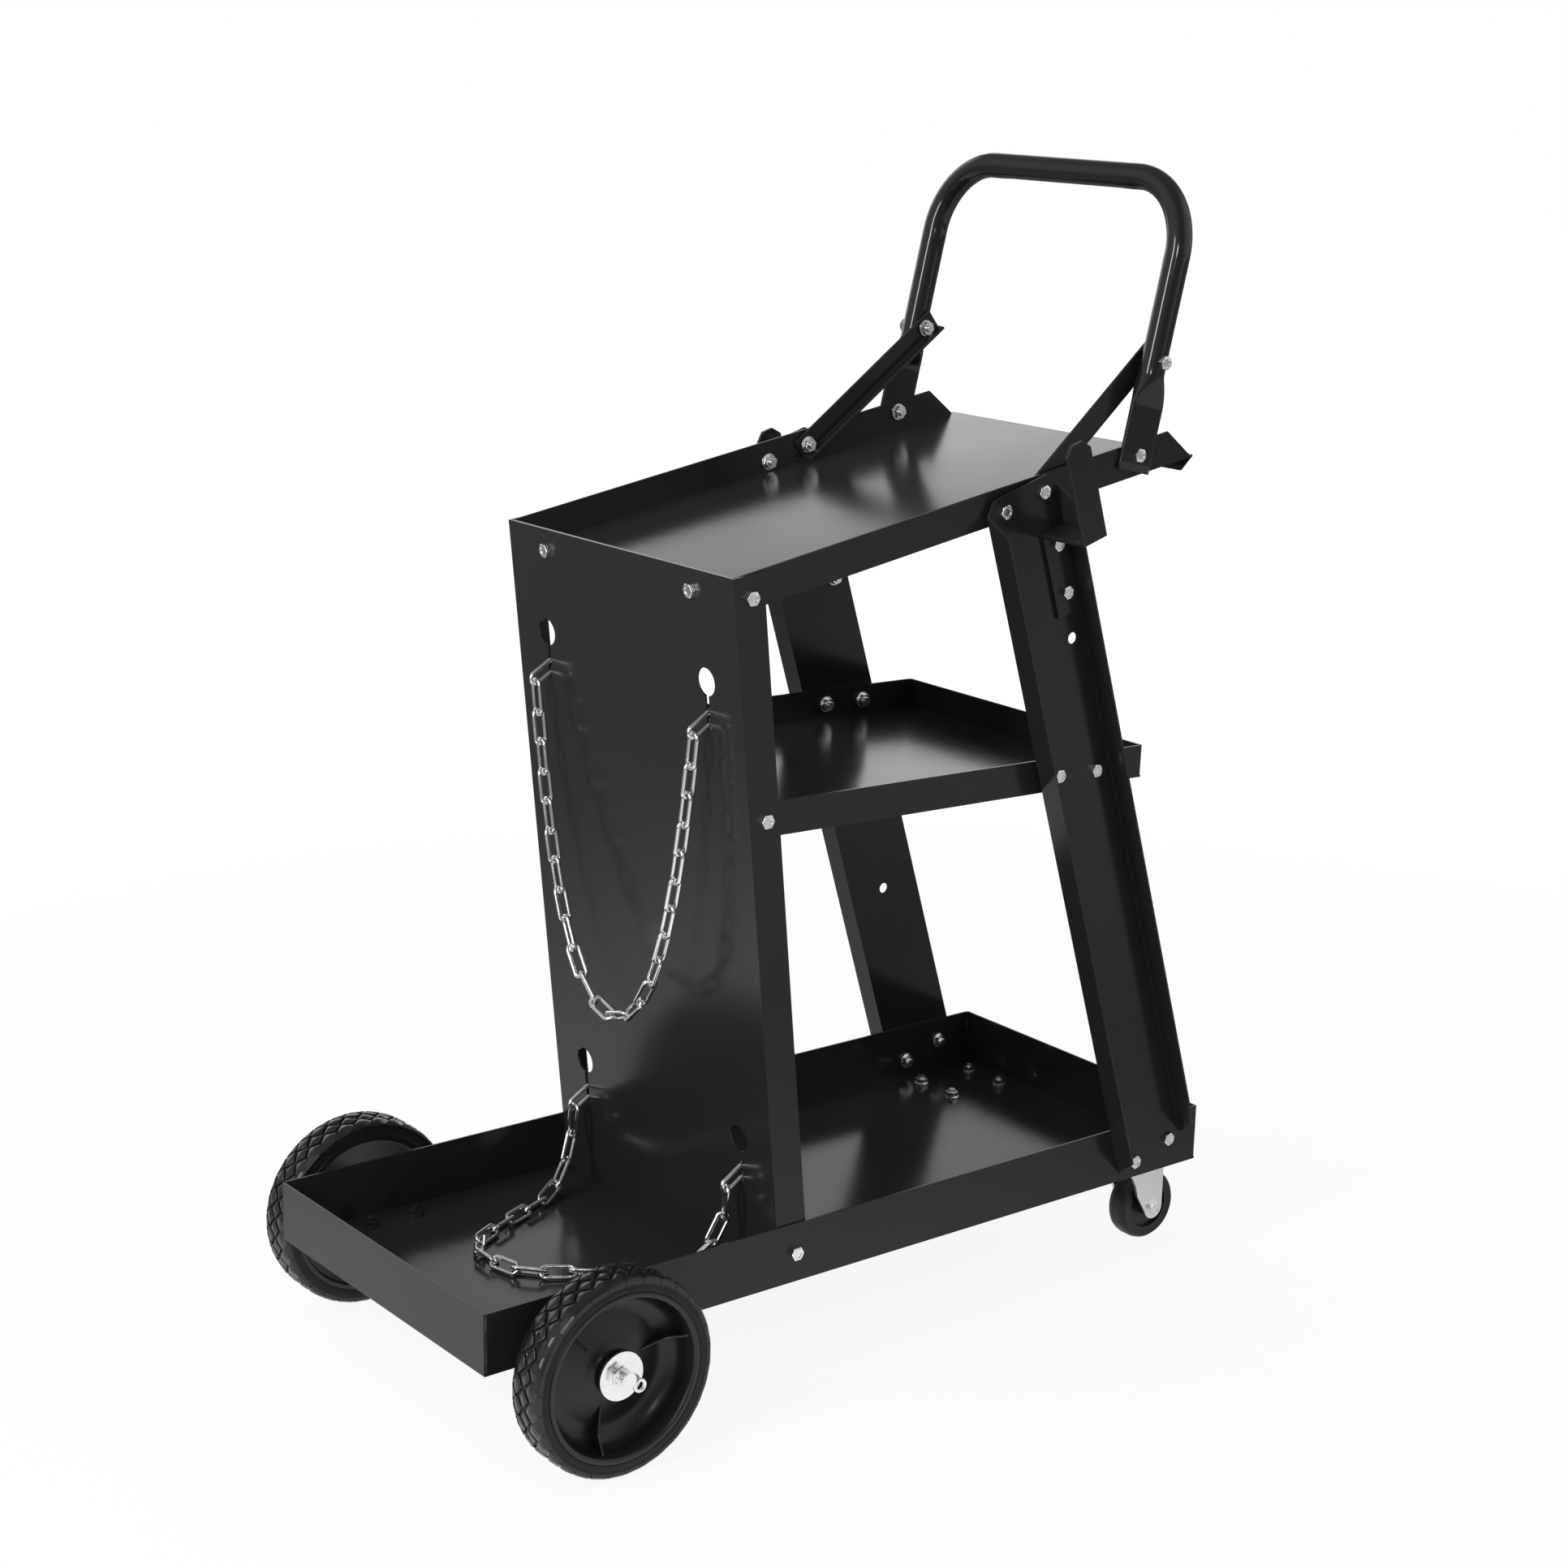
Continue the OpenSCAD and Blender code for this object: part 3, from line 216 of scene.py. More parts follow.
def new_piece(name, mesh, materials, body):
    for material in materials:
        mesh.materials.append(material)
    piece = bpy.data.objects.new(name, mesh)
    bpy.context.collection.objects.link(piece)
    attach(piece, body)
    return piece


def bevelled(node, width, materials, segments=2, angle=30):
    """Stands in for a CAD node: the same shape with its edges broken, as folded or pressed metal has."""
    bm = bmesh.new()
    bm.from_mesh(nodes[node].data)
    bmesh.ops.remove_doubles(bm, verts=bm.verts, dist=2e-6)
    bmesh.ops.dissolve_limit(bm, angle_limit=math.radians(0.4), verts=bm.verts, edges=bm.edges)
    mesh = plain_mesh(bm, node + "_edges")
    mesh.materials.clear()
    piece = new_piece(node + "_piece", mesh, materials, body_of(node))
    edges = piece.modifiers.new("edges", "BEVEL")
    edges.width = width
    edges.segments = segments
    edges.limit_method = "ANGLE"
    edges.angle_limit = math.radians(angle)
    edges.harden_normals = True
    # The bevel's faces take the last material: for the sheets, the lighter copy that paints the edge
    # highlight
    edges.material = len(materials) - 1
    mesh.polygons.foreach_set("use_smooth", [True] * len(mesh.polygons))
    mesh.polygons.foreach_set("material_index", [0] * len(mesh.polygons))
    mesh.set_sharp_from_angle(angle=math.radians(angle))
    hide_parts(node)
    return piece


def paint(node, material):
    """Gives a CAD node that stays a material."""
    mesh = nodes[node].data
    mesh.materials.clear()
    mesh.materials.append(material)


# ---------------------------------------------------------------- sheet metal

# The cart's own sizes in millimetres: along from the tray's front, sideways from the middle,
# up from the tray's underside
TRAY_SIDE = 145.0
TRAY_L = 700.0
AXLE = (85.5, -6.0)
MIDDLE_X = 358.5
RIDE = 82.2
# The middle shelf: its place at the plate, its length and its slope
MID_X, MID_Z = 227.85, 352.0
MID_L = 387.96
MID_SLOPE = 1.4

SHEET_BEVEL = 0.4 * MM
ZINC_BEVEL = 0.35 * MM
SHEET_NODES = [
    "bottom_tray", "cylinder_plate", "middle_shelf", "top_shelf", "left_leg", "right_leg",
    "left_hook", "right_hook", "left_brace", "right_brace", "left_axle_strap", "right_axle_strap",
]
for name in SHEET_NODES:
    bevelled(name, SHEET_BEVEL, [SHEET, SHEET_PAINTED_HIGHLIGHT])

# The paint beads in the folded corners: radius, distance in from the folded end, sideways places,
# where they start and stop over the floor
BEAD_R = 0.95
BEAD_IN = 1.9
TRAY_BEAD_Y, MID_BEAD_Y = 144.0, 140.8
BEAD_LOW = 1.6
TRAY_BEAD_HIGH, MID_BEAD_HIGH = 46.4, 25.6
BEAD_SIDES = 12


def corner_bead(bm, foot, out, up, x, y, high):
    """One round bead that stands on a shelf with its own outward and upward directions."""
    base = foot + Vector((0, y, 0)) + out * x
    rings = []
    for end in (base + up * BEAD_LOW, base + up * high):
        ring = []
        for k in range(BEAD_SIDES):
            a = math.tau * k / BEAD_SIDES
            point = end + Vector((BEAD_R * math.cos(a), BEAD_R * math.sin(a), 0))
            ring.append(bm.verts.new((point - Vector((MIDDLE_X, 0, -RIDE))) * MM))
        rings.append(ring)
    wall(bm, *rings)
    bm.faces.new(rings[1])
    bm.faces.new(list(reversed(rings[0])))


def corner_beads():
    """Paint beads that close the folded corners of the tray and of the middle shelf's handle end."""
    bm = bmesh.new()
    tray = (Vector((0, 0, 0)), Vector((1, 0, 0)), Vector((0, 0, 1)))
    slope = math.radians(MID_SLOPE)
    shelf = (
        Vector((MID_X, 0, MID_Z)),
        Vector((math.cos(slope), 0, -math.sin(slope))),
        Vector((math.sin(slope), 0, math.cos(slope))),
    )
    for x in (BEAD_IN, TRAY_L - BEAD_IN):
        for y in (-TRAY_BEAD_Y, TRAY_BEAD_Y):
            corner_bead(bm, *tray, x, y, TRAY_BEAD_HIGH)
    for y in (-MID_BEAD_Y, MID_BEAD_Y):
        corner_bead(bm, *shelf, MID_L - BEAD_IN, y, MID_BEAD_HIGH)
    mesh = plain_mesh(bm, "corner_beads")
    mesh.polygons.foreach_set("use_smooth", [len(face.vertices) == 4 for face in mesh.polygons])
    new_piece("corner_beads", mesh, [SHEET], "frame")


corner_beads()

for name in ["left_caster_tyre", "right_caster_tyre"]:
    paint(name, CASTER_TYRE)
for name in ["left_caster_wheel", "right_caster_wheel"]:
    paint(name, CASTER_WHEEL)
for name in ["upper_chain", "lower_chain", "chain_end_links"]:
    paint(name, CHAIN)
for name in nodes:
    if slot_of(name) == "zinc_steel":
        # The straps' bolts are painted over with the tray
        bevelled(name, ZINC_BEVEL, [SHEET if name.startswith("strap") else ZINC], segments=3)


# ---------------------------------------------------------------- turned and repeated pieces

def wheel_place(side):
    """From a wheel's own frame (axis +Z outwards, from the tray's wall, in millimetres) to the cart's."""
    return Matrix((
        (MM, 0, 0, (AXLE[0] - MIDDLE_X) * MM),
        (0, 0, side * MM, side * TRAY_SIDE * MM),
        (0, MM, 0, (AXLE[1] + RIDE) * MM),
        (0, 0, 0, 1),
    ))


def finished(bm, name, materials, body, replaces, sharp=35, flat=None):
    """Closes a mesh's seams, smooths it but for one flat material and rides it on its body."""
    bmesh.ops.remove_doubles(bm, verts=bm.verts, dist=1e-6)
    bmesh.ops.recalc_face_normals(bm, faces=bm.faces)
    mesh = plain_mesh(bm, name)
    mesh.polygons.foreach_set("use_smooth", [face.material_index != flat for face in mesh.polygons])
    mesh.set_sharp_from_angle(angle=math.radians(sharp))
    piece = new_piece(name, mesh, materials, body)
    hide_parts(replaces)
    return piece


def lathe(bm, profile, steps, material=0):
    """Turns a closed outline of (radius, height) about Z."""
    rings = []
    for i in range(steps):
        angle = math.tau * i / steps
        rings.append([bm.verts.new((r * math.cos(angle), r * math.sin(angle), z)) for r, z in profile])
    for i, ring in enumerate(rings):
        following = rings[(i + 1) % steps]
        for k in range(len(profile)):
            m = (k + 1) % len(profile)
            face = bm.faces.new((ring[k], following[k], following[m], ring[m]))
            face.material_index = material


def arc(centre, radius, start, end, steps):
    """Points of (radius, height) on an arc, with the angles in degrees."""
    turns = [math.radians(start + (end - start) * i / steps) for i in range(steps + 1)]
    return [(centre[0] + radius * math.cos(a), centre[1] + radius * math.sin(a)) for a in turns]


def ring_tree():
    """Geometry Nodes: repeats a mesh evenly about Z."""
    tree = bpy.data.node_groups.new("around_axis", "GeometryNodeTree")
    face = tree.interface
    face.new_socket("Geometry", in_out="INPUT", socket_type="NodeSocketGeometry")
    face.new_socket("Count", in_out="INPUT", socket_type="NodeSocketInt")
    face.new_socket("First turn", in_out="INPUT", socket_type="NodeSocketFloat")
    face.new_socket("Material", in_out="INPUT", socket_type="NodeSocketMaterial")
    face.new_socket("Geometry", in_out="OUTPUT", socket_type="NodeSocketGeometry")
    add = tree.nodes.new
    link = tree.links.new
    start, end = add("NodeGroupInput"), add("NodeGroupOutput")
    points, index = add("GeometryNodePoints"), add("GeometryNodeInputIndex")
    share, turn, vector = add("ShaderNodeMath"), add("ShaderNodeMath"), add("ShaderNodeCombineXYZ")
    share.operation = "DIVIDE"
    turn.operation = "MULTIPLY_ADD"
    turn.inputs[1].default_value = math.tau
    copies, real = add("GeometryNodeInstanceOnPoints"), add("GeometryNodeRealizeInstances")
    paint_all = add("GeometryNodeSetMaterial")
    link(start.outputs["Count"], points.inputs["Count"])
    link(index.outputs["Index"], share.inputs[0])
    link(start.outputs["Count"], share.inputs[1])
    link(share.outputs["Value"], turn.inputs[0])
    link(start.outputs["First turn"], turn.inputs[2])
    link(turn.outputs["Value"], vector.inputs["Z"])
    link(points.outputs["Points"], copies.inputs["Points"])
    link(start.outputs["Geometry"], copies.inputs["Instance"])
    link(vector.outputs["Vector"], copies.inputs["Rotation"])
    link(copies.outputs["Instances"], real.inputs["Geometry"])
    link(real.outputs["Geometry"], paint_all.inputs["Geometry"])
    link(start.outputs["Material"], paint_all.inputs["Material"])
    link(paint_all.outputs["Geometry"], end.inputs["Geometry"])
    return tree


AROUND = ring_tree()


def repeated(mesh, count, first_turn, material):
    """The mesh repeated about Z, as one plain mesh."""
    holder = bpy.data.objects.new("holder", mesh)
    bpy.context.collection.objects.link(holder)
    tool = holder.modifiers.new("around", "NODES")
    tool.node_group = AROUND
    sockets = AROUND.interface.items_tree
    named = {item.name: item.identifier for item in sockets if item.in_out == "INPUT"}
    tool[named["Count"]] = count
    tool[named["First turn"]] = first_turn
    tool[named["Material"]] = material
    graph = bpy.context.evaluated_depsgraph_get()
    made = bpy.data.meshes.new_from_object(holder.evaluated_get(graph), depsgraph=graph)
    bpy.data.objects.remove(holder)
    return made


# ---------------------------------------------------------------- fixed wheels

TREAD_R = 76.1
GROOVE = 2.1
# How far a block's or a tooth's root reaches into the tyre's body
ROOT = 0.6
TREAD_IN, TREAD_OUT = 17.1, 49.9
TREAD_MIDDLE = (TREAD_IN + TREAD_OUT) / 2
BLOCKS = 30
# The moulding marks on the tyre's side: how many, their first turn, and one mark's place and size
TICKS, TICK_TURN = 15, 0.1
TICK_PLACE = (70.6, 0, 49.7)
TICK_SIZE = (4.2, 0.4, 0.34)


def tread_radius(z, down=0.0):
    """Radius of the tread across its width: a slight crown, and shoulders that fold down to the sides."""
    edge = min(z - TREAD_IN, TREAD_OUT - z)
    fold = max(0.0, 3.2 - edge)
    return TREAD_R - 0.7 * ((z - TREAD_MIDDLE) / 16) ** 2 - 0.26 * fold ** 1.7 - down


def tread_block(row_z, half_l, half_w, blunt, side):
    """One lozenge of the tread at its place across: a ridge along it, and its top tipped to one side."""
    outline = [
        (half_l, blunt), (blunt, half_w), (-blunt, half_w), (-half_l, blunt),
        (-half_l, -blunt), (-blunt, -half_w), (blunt, -half_w), (half_l, -blunt),
    ]
    bm = bmesh.new()

    def point(u, v, down):
        z = min(TREAD_OUT, max(TREAD_IN, row_z + v))
        r = tread_radius(z, down)
        return bm.verts.new((r * math.cos(u / TREAD_R), r * math.sin(u / TREAD_R), z))

    rings = [
        [point(u * 1.07, v * 1.07, GROOVE + ROOT) for u, v in outline],
        [point(u, v, 0.75) for u, v in outline],
        [point(u * 0.9, v * 0.9, 0.25 + 0.45 * (1 + side * v / half_w)) for u, v in outline],
    ]
    for low, high in zip(rings, rings[1:]):
        wall(bm, low, high)
    top = rings[-1]
    ridge = [point(u, side * half_w * 0.12, 0.0) for u in (half_l * 0.6, -half_l * 0.6)]
    bm.faces.new((top[7], top[0], ridge[0]))
    bm.faces.new((top[0], top[1], ridge[0]))
    bm.faces.new((top[1], top[2], ridge[1], ridge[0]))
    bm.faces.new((top[2], top[3], ridge[1]))
    bm.faces.new((top[3], top[4], ridge[1]))
    bm.faces.new((top[4], top[5], ridge[1]))
    bm.faces.new((top[5], top[6], ridge[0], ridge[1]))
    bm.faces.new((top[6], top[7], ridge[0]))
    bmesh.ops.recalc_face_normals(bm, faces=bm.faces)
    return plain_mesh(bm, "tread_block")


def shoulder_tooth(side):
    """One solid tooth of a shoulder, which reaches in between two outer blocks; side is +1 outwards."""
    half = [(-7.5, 17.0), (-7.5, 15.3), (-5.4, 14.4), (-0.9, 10.6)]
    outline = half + [(-u, v) for u, v in reversed(half)]
    bm = bmesh.new()
    rings = []
    for grow, down in ((0.35, GROOVE + ROOT), (0.0, 0.5), (-0.35, 0.1)):
        ring = []
        for u, v in outline:
            v = v - grow if v < 16 else v
            u = u + math.copysign(grow, u)
            z = min(TREAD_OUT - 0.05, max(TREAD_IN + 0.05, TREAD_MIDDLE + side * v))
            r = tread_radius(z, down)
            ring.append(bm.verts.new((r * math.cos(u / TREAD_R), r * math.sin(u / TREAD_R), z)))
        rings.append(ring)
    for low, high in zip(rings, rings[1:]):
        wall(bm, low, high)
    top = rings[-1]
    for a, b, c, d in ((0, 1, 6, 7), (1, 2, 5, 6), (2, 3, 4, 5)):
        bm.faces.new((top[a], top[b], top[c], top[d]))
    bmesh.ops.recalc_face_normals(bm, faces=bm.faces)
    return plain_mesh(bm, "shoulder_tooth")


def side_tick():
    """A small moulding mark on the tyre's outer side."""
    bm = bmesh.new()
    shape = Matrix.Translation(TICK_PLACE) @ Matrix.Diagonal((*TICK_SIZE, 1))
    bmesh.ops.create_cube(bm, size=1.0, matrix=shape)
    return plain_mesh(bm, "side_tick")


# Outlines of (radius, height out from the tray's wall). The tyre: inner side, tread's seat, outer side
TYRE_BODY = [
    (64.0, 18.2), (65.4, 17.7), (67.6, 17.3), (71.0, 17.2), (72.6, 17.8), (73.4, 19.4),
    (73.8, 22.5), (73.9, 33.5), (73.8, 44.5), (73.4, 47.6), (72.9, 48.9), (72.2, 49.5),
    (71.2, 49.75), (69.4, 49.75), (69.2, 49.6), (69.0, 49.6), (68.8, 49.72), (66.0, 49.65),
    (64.6, 49.55), (64.2, 49.3), (64.0, 48.6),
]
# The hub: bore, inner side, lip and rim, then the dish's round corner, its floor and the boss
HUB_BODY = [
    (6.08, 15.0), (14.0, 15.0), (14.5, 15.5), (14.5, 27.6), (15.5, 28.2), (58.6, 20.6),
    (59.6, 19.8), (60.0, 18.6), (60.4, 18.1), (63.6, 18.0), (64.0, 18.4), (64.0, 49.2),
    (63.7, 49.7), (62.8, 50.1), (61.8, 50.1), (60.8, 49.8), (60.0, 49.2), (59.5, 48.2),
    (59.2, 46.0), (58.8, 41.0),
] + arc((44.6, 39.2), 14.2, 4, -103, 24) + [
    (36.0, 26.9), (28.0, 28.9), (20.0, 30.9), (17.4, 31.7), (15.9, 32.7), (15.0, 34.2),
    (14.6, 36.0), (14.5, 40.9), (13.9, 41.5), (6.08, 41.5),
]
# A rib of the dish: its free edge from the boss to the rim, then back under the dish's floor
RIB = [
    (27.0, 29.6), (34.0, 30.6), (41.0, 32.2), (47.0, 34.6), (52.0, 38.0), (56.0, 42.0),
    (58.4, 44.2), (60.2, 44.6), (60.2, 26.0), (55.0, 23.0), (40.0, 25.0), (27.0, 28.6),
]
RIB_TURNS = (15, 135, 255)
# Layers across a rib's thickness: sideways offset, and how far the rounded edge drops there
RIB_LAYERS = ((-1.0, 0.5), (-0.5, 0.0), (0.5, 0.0), (1.0, 0.5))
TYRE_STEPS, HUB_STEPS = 120, 144
# Rows of blocks: distance from the tread's middle, half length, half width, blunted corner,
# tipped side, turned half a pitch
TREAD_ROWS = (
    (-9.3, 6.7, 5.7, 1.3, -1, True),
    (0.0, 6.3, 5.3, 0.5, -1, False),
    (9.3, 6.7, 5.7, 1.3, 1, True),
)

for side, name in ((-1, "left"), (1, "right")):
    place = wheel_place(side)

    bm = bmesh.new()
    lathe(bm, TYRE_BODY, TYRE_STEPS)
    bmesh.ops.recalc_face_normals(bm, faces=bm.faces)
    bm.from_mesh(repeated(side_tick(), TICKS, TICK_TURN, TYRE))
    start = len(bm.faces)
    for row_z, half_l, half_w, blunt, tip, between in TREAD_ROWS:
        block = tread_block(TREAD_MIDDLE + row_z, half_l, half_w, blunt, tip)
        bm.from_mesh(repeated(block, BLOCKS, math.pi / BLOCKS * between, TREAD))
    for edge in (-1, 1):
        bm.from_mesh(repeated(shoulder_tooth(edge), BLOCKS, 0.0, TREAD))
    bm.faces.ensure_lookup_table()
    for face in bm.faces[start:]:
        face.material_index = 1
    bm.transform(place)
    body = name + "_wheel"
    finished(bm, name + "_tyre_piece", [TYRE, TREAD], body, name + "_tyre", 38, flat=1)

    bm = bmesh.new()
    lathe(bm, HUB_BODY, HUB_STEPS)
    for turn in RIB_TURNS:
        angle = math.radians(turn)
        along = Vector((math.cos(angle), math.sin(angle), 0))
        across = Vector((-math.sin(angle), math.cos(angle), 0))
        sheets = []
        for offset, drop in RIB_LAYERS:
            points = [along * r + across * offset + Vector((0, 0, z - drop)) for r, z in RIB]
            sheets.append([bm.verts.new(point) for point in points])
        for low, high in zip(sheets, sheets[1:]):
            wall(bm, low, high)
        bm.faces.new(list(reversed(sheets[0])))
        bm.faces.new(sheets[-1])
    bm.transform(place)
    finished(bm, name + "_hub_piece", [HUB], body, name + "_wheel_hub")


# ---------------------------------------------------------------- handle

HANDLE_FOOT = (590.97, 601.02)
HANDLE_LEAN = 13.4
HANDLE_H = 210.7
HANDLE_Y = 141.0
BEND_R = 58.0
TUBE_D = 20.0
FLAT_W, FLAT_T = 33.0, 3.6
FLAT_Y = 143.6
# Sections along a foot, the stretch in which it turns from flat to round, and its broken end
FOOT_ENDS = (-13.0, -12.5, -6.0, 8.0, 24.0, 36.0)
FOOT_TURNING = (38.0, 41.0, 44.0, 47.0, 50.0, 53.0, 56.0, 59.0, 62.0, 66.0)
FLAT_END, TURNING_L = 37.0, 26.0
FOOT_BREAK = 0.8
BEND_STEPS = 20
TUBE_SIDES = 36
# The wrinkle that the bending tool leaves inside each bend
KINK_DEPTH = 0.9


def handle_rings():
    """The tube's sections from foot to foot: centre, outward direction, two widths, squareness, kink."""
    rings = []
    for z in FOOT_ENDS + FOOT_TURNING:
        t = min(1.0, max(0.0, (z - FLAT_END) / TURNING_L))
        t = t * t * (3 - 2 * t)
        wide = FLAT_W + (TUBE_D - FLAT_W) * t
        thick = FLAT_T + (TUBE_D - FLAT_T) * t
        if z == FOOT_ENDS[0]:
            wide, thick = wide - FOOT_BREAK, thick - FOOT_BREAK
        y = -(FLAT_Y + (HANDLE_Y - FLAT_Y) * t)
        rings.append(((y, z), 180.0, wide, thick, 8.0 - 6.0 * t, 0.0))
    top = HANDLE_H - BEND_R
    for i in range(1, 18):
        z = FOOT_TURNING[-1] + (top - FOOT_TURNING[-1]) * i / 18
        near = max(0.0, 1 - abs(z - (top - 5.0)) / 6.0)
        rings.append(((-HANDLE_Y, z), 180.0, TUBE_D, TUBE_D, 2.0, near))
    for i in range(BEND_STEPS + 1):
        turn = 180.0 - 90.0 * i / BEND_STEPS
        inside = math.sin(math.radians(180.0 - turn) * 2)
        a = math.radians(turn)
        centre = (-(HANDLE_Y - BEND_R) + BEND_R * math.cos(a), top + BEND_R * math.sin(a))
        kink = max(0.0, 1 - (i if i < 3 else BEND_STEPS - i) / 2.5)
        rings.append((centre, turn, TUBE_D + 0.6 * inside, TUBE_D - 0.9 * inside, 2.0, kink * 0.4))
    for i in range(1, 9):
        y = -(HANDLE_Y - BEND_R) * (1 - i / 8)
        near = max(0.0, 1 - abs(i - 0.6) / 0.8)
        rings.append(((y, HANDLE_H), 90.0, TUBE_D, TUBE_D, 2.0, near * 0.8))
    half = rings[:-1]
    mirrored = []
    for (y, z), turn, wide, thick, square, kink in reversed(half):
        mirrored.append(((-y, z), 180.0 - turn, wide, thick, square, kink))
    return half + rings[-1:] + mirrored


def handle_mesh():
    """The whole tube, leaning from its feet."""
    lean = math.radians(HANDLE_LEAN)
    along = Vector((math.sin(lean), 0, math.cos(lean)))
    forward = Vector((math.cos(lean), 0, -math.sin(lean)))
    foot = Vector((HANDLE_FOOT[0] - MIDDLE_X, 0, HANDLE_FOOT[1] + RIDE))
    bm = bmesh.new()
    rings = []
    for (y, z), turn, wide, thick, square, kink in handle_rings():
        a = math.radians(turn)
        outward = Vector((0, math.cos(a), 0)) + along * math.sin(a)
        centre = foot + Vector((0, y, 0)) + along * z
        ring = []
        for k in range(TUBE_SIDES):
            t = math.tau * k / TUBE_SIDES
            c, s = math.cos(t), math.sin(t)
            power = 2.0 / square
            x = math.copysign(abs(c) ** power, c) * wide / 2
            o = math.copysign(abs(s) ** power, s) * thick / 2
            if s < 0:
                o -= kink * KINK_DEPTH * (-s) ** 3
            ring.append(bm.verts.new((centre + forward * x + outward * o) * MM))
        rings.append(ring)
    for low, high in zip(rings, rings[1:]):
        wall(bm, low, high)
    bm.faces.new(list(reversed(rings[0])))
    bm.faces.new(rings[-1])
    return bm


finished(handle_mesh(), "handle_piece", [TUBE], "frame", "handle", sharp=40)


# ---------------------------------------------------------------- studio

def softbox(name, place, target, size, power):
    """A rectangular lamp at a place, turned towards a target."""
    data = bpy.data.lights.new(name, "AREA")
    data.shape = "RECTANGLE"
    data.size, data.size_y = size
    data.energy = power
    lamp = bpy.data.objects.new(name, data)
    bpy.context.collection.objects.link(lamp)
    turn = (Vector(target) - Vector(place)).to_track_quat("-Z", "Y")
    lamp.matrix_world = Matrix.Translation(place) @ turn.to_matrix().to_4x4()
    return lamp


middle = (Vector(CAD_BOX[0]) + Vector(CAD_BOX[1])) / 2

camera_data = bpy.data.cameras.new("camera")
camera_data.lens = 66.73
camera_data.sensor_width = 36
camera = bpy.data.objects.new("camera", camera_data)
bpy.context.collection.objects.link(camera)
heading, dip, roll = math.radians(38.13), math.radians(14.81), math.radians(1.19)
camera.matrix_world = (
    Matrix.Translation((-1.3431, -1.7231, 1.0028))
    @ Matrix.Rotation(-heading, 4, "Z")
    @ Matrix.Rotation(math.pi / 2 - dip, 4, "X")
    @ Matrix.Rotation(roll, 4, "Z")
)
bpy.context.scene.camera = camera

softbox("top", (-0.6, 0.9, 2.6), middle, (2.0, 2.0), 26).visible_glossy = False
softbox("left", (-2.45, -0.35, 1.3), middle, (0.4, 1.7), 30)
softbox("front", (-1.75, -1.95, 1.85), middle, (0.4, 0.4), 8)


def graph_tools(tree):
    """Short ways to add a sum, a distance and a smooth step to a node tree."""

    def math_node(operation, first, second):
        node = tree.nodes.new("ShaderNodeMath")
        node.operation = operation
        for socket, value in zip(node.inputs, (first, second)):
            if isinstance(value, bpy.types.NodeSocket):
                tree.links.new(value, socket)
            else:
                socket.default_value = value
        return node.outputs["Value"]

    def vector_node(operation, first, second):
        node = tree.nodes.new("ShaderNodeVectorMath")
        node.operation = operation
        tree.links.new(first, node.inputs[0])
        node.inputs[1].default_value = second
        return node.outputs["Value"]

    def step(value, low, high, start, end):
        node = tree.nodes.new("ShaderNodeMapRange")
        node.interpolation_type = "SMOOTHSTEP"
        for label, number in (("From Min", low), ("From Max", high), ("To Min", start), ("To Max", end)):
            node.inputs[label].default_value = number
        tree.links.new(value, node.inputs["Value"])
        return node.outputs["Result"]

    return math_node, vector_node, step


world = bpy.data.worlds.new("studio")
world.use_nodes = True
bpy.context.scene.world = world
tree = world.node_tree
back = tree.nodes["Background"]
back.inputs["Color"].default_value = (1, 1, 1, 1)
look = tree.nodes.new("ShaderNodeTexCoord").outputs["Generated"]
math_node, vector_node, step = graph_tools(tree)


def glow_towards(direction, low, high, bright):
    """A glow of the studio in one direction, from a cosine of low to a cosine of high."""
    towards = vector_node("DOT_PRODUCT", look, Vector(direction).normalized())
    return step(towards, low, high, 0.0, bright)


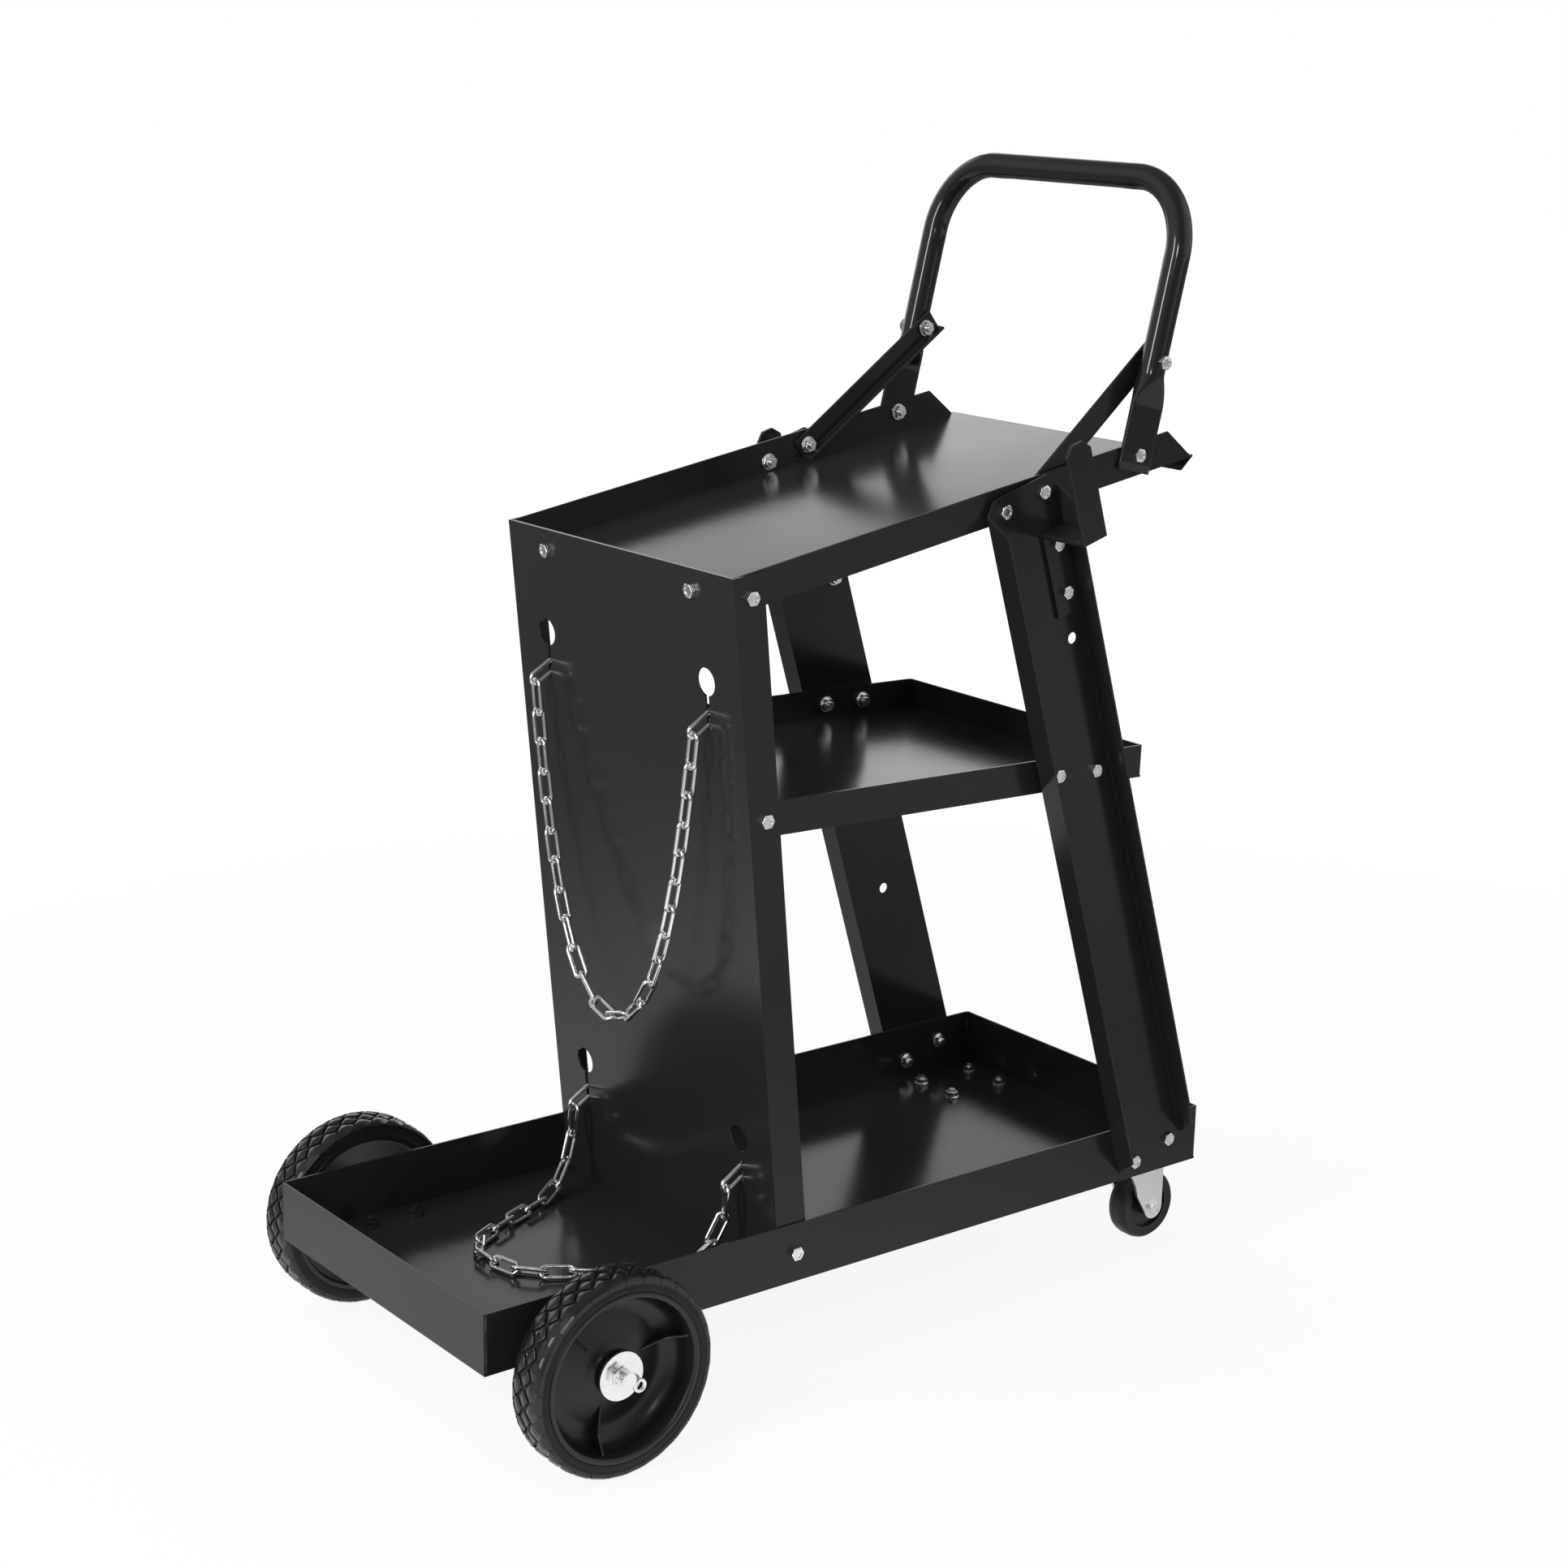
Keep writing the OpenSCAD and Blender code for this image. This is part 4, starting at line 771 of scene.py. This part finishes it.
# A dim room with a wide pale wall beyond the handle's end, a sheet to its left, and two fainter glows
around = math_node("ADD", glow_towards((0.6, 0.78, 0.05), 0.84, 0.98, 1.2), 0.2)
around = math_node("ADD", around, glow_towards((-0.05, 0.97, 0.2), 0.89, 0.98, 1.1))
around = math_node("ADD", around, glow_towards((-0.9, 0.2, 0.35), 0.5, 0.95, 0.35))
around = math_node("ADD", around, glow_towards((0.76, -0.6, 0.25), 0.6, 0.95, 0.6))
rays = tree.nodes.new("ShaderNodeLightPath")
choose = tree.nodes.new("ShaderNodeMix")
choose.inputs["B"].default_value = 1.0
tree.links.new(rays.outputs["Is Camera Ray"], choose.inputs["Factor"])
tree.links.new(around, choose.inputs["A"])
tree.links.new(choose.outputs["Result"], back.inputs["Strength"])

bm = bmesh.new()
bmesh.ops.create_circle(bm, cap_ends=True, radius=14, segments=64)
floor_mesh = plain_mesh(bm, "floor")
floor = bpy.data.objects.new("floor", floor_mesh)
bpy.context.collection.objects.link(floor)
ground = Shader("floor", Roughness=0.9, Specular_IOR_Level=0.0)
ground.bsdf.inputs["Base Color"].default_value = (0.8, 0.8, 0.8, 1)
math_node, vector_node, step = graph_tools(ground.tree)
seen = ground.add("ShaderNodeLightPath")
# White as seen directly, with the cart's own shadow near it; in reflections two pools of light
white = ground.add("ShaderNodeEmission")
white.inputs["Strength"].default_value = 1.03
pool = ground.add("ShaderNodeEmission")
front_pool = step(vector_node("DISTANCE", ground.place, (-0.42, -0.12, 0.0)), 0.25, 1.25, 0.75, 0.0)
side_pool = step(vector_node("DISTANCE", ground.place, (1.5, -2.0, 0.0)), 0.8, 2.6, 0.36, 0.0)
ground.link(math_node("ADD", math_node("ADD", front_pool, side_pool), 0.2), pool.inputs["Strength"])
far = step(vector_node("DISTANCE", ground.place, (0.0, 0.0, 0.0)), 0.7, 2.2, 0.88, 1.0)
to_camera = ground.add("ShaderNodeMixShader")
ground.link(math_node("MULTIPLY", seen.outputs["Is Camera Ray"], far), to_camera.inputs["Fac"])
ground.link(ground.bsdf.outputs["BSDF"], to_camera.inputs[1])
ground.link(white.outputs["Emission"], to_camera.inputs[2])
to_metal = ground.add("ShaderNodeMixShader")
ground.link(seen.outputs["Is Glossy Ray"], to_metal.inputs["Fac"])
ground.link(to_camera.outputs["Shader"], to_metal.inputs[1])
ground.link(pool.outputs["Emission"], to_metal.inputs[2])
ground.link(to_metal.outputs["Shader"], ground.tree.nodes["Material Output"].inputs["Surface"])
floor_mesh.materials.append(ground.material)

bpy.context.scene.view_settings.view_transform = "Standard"
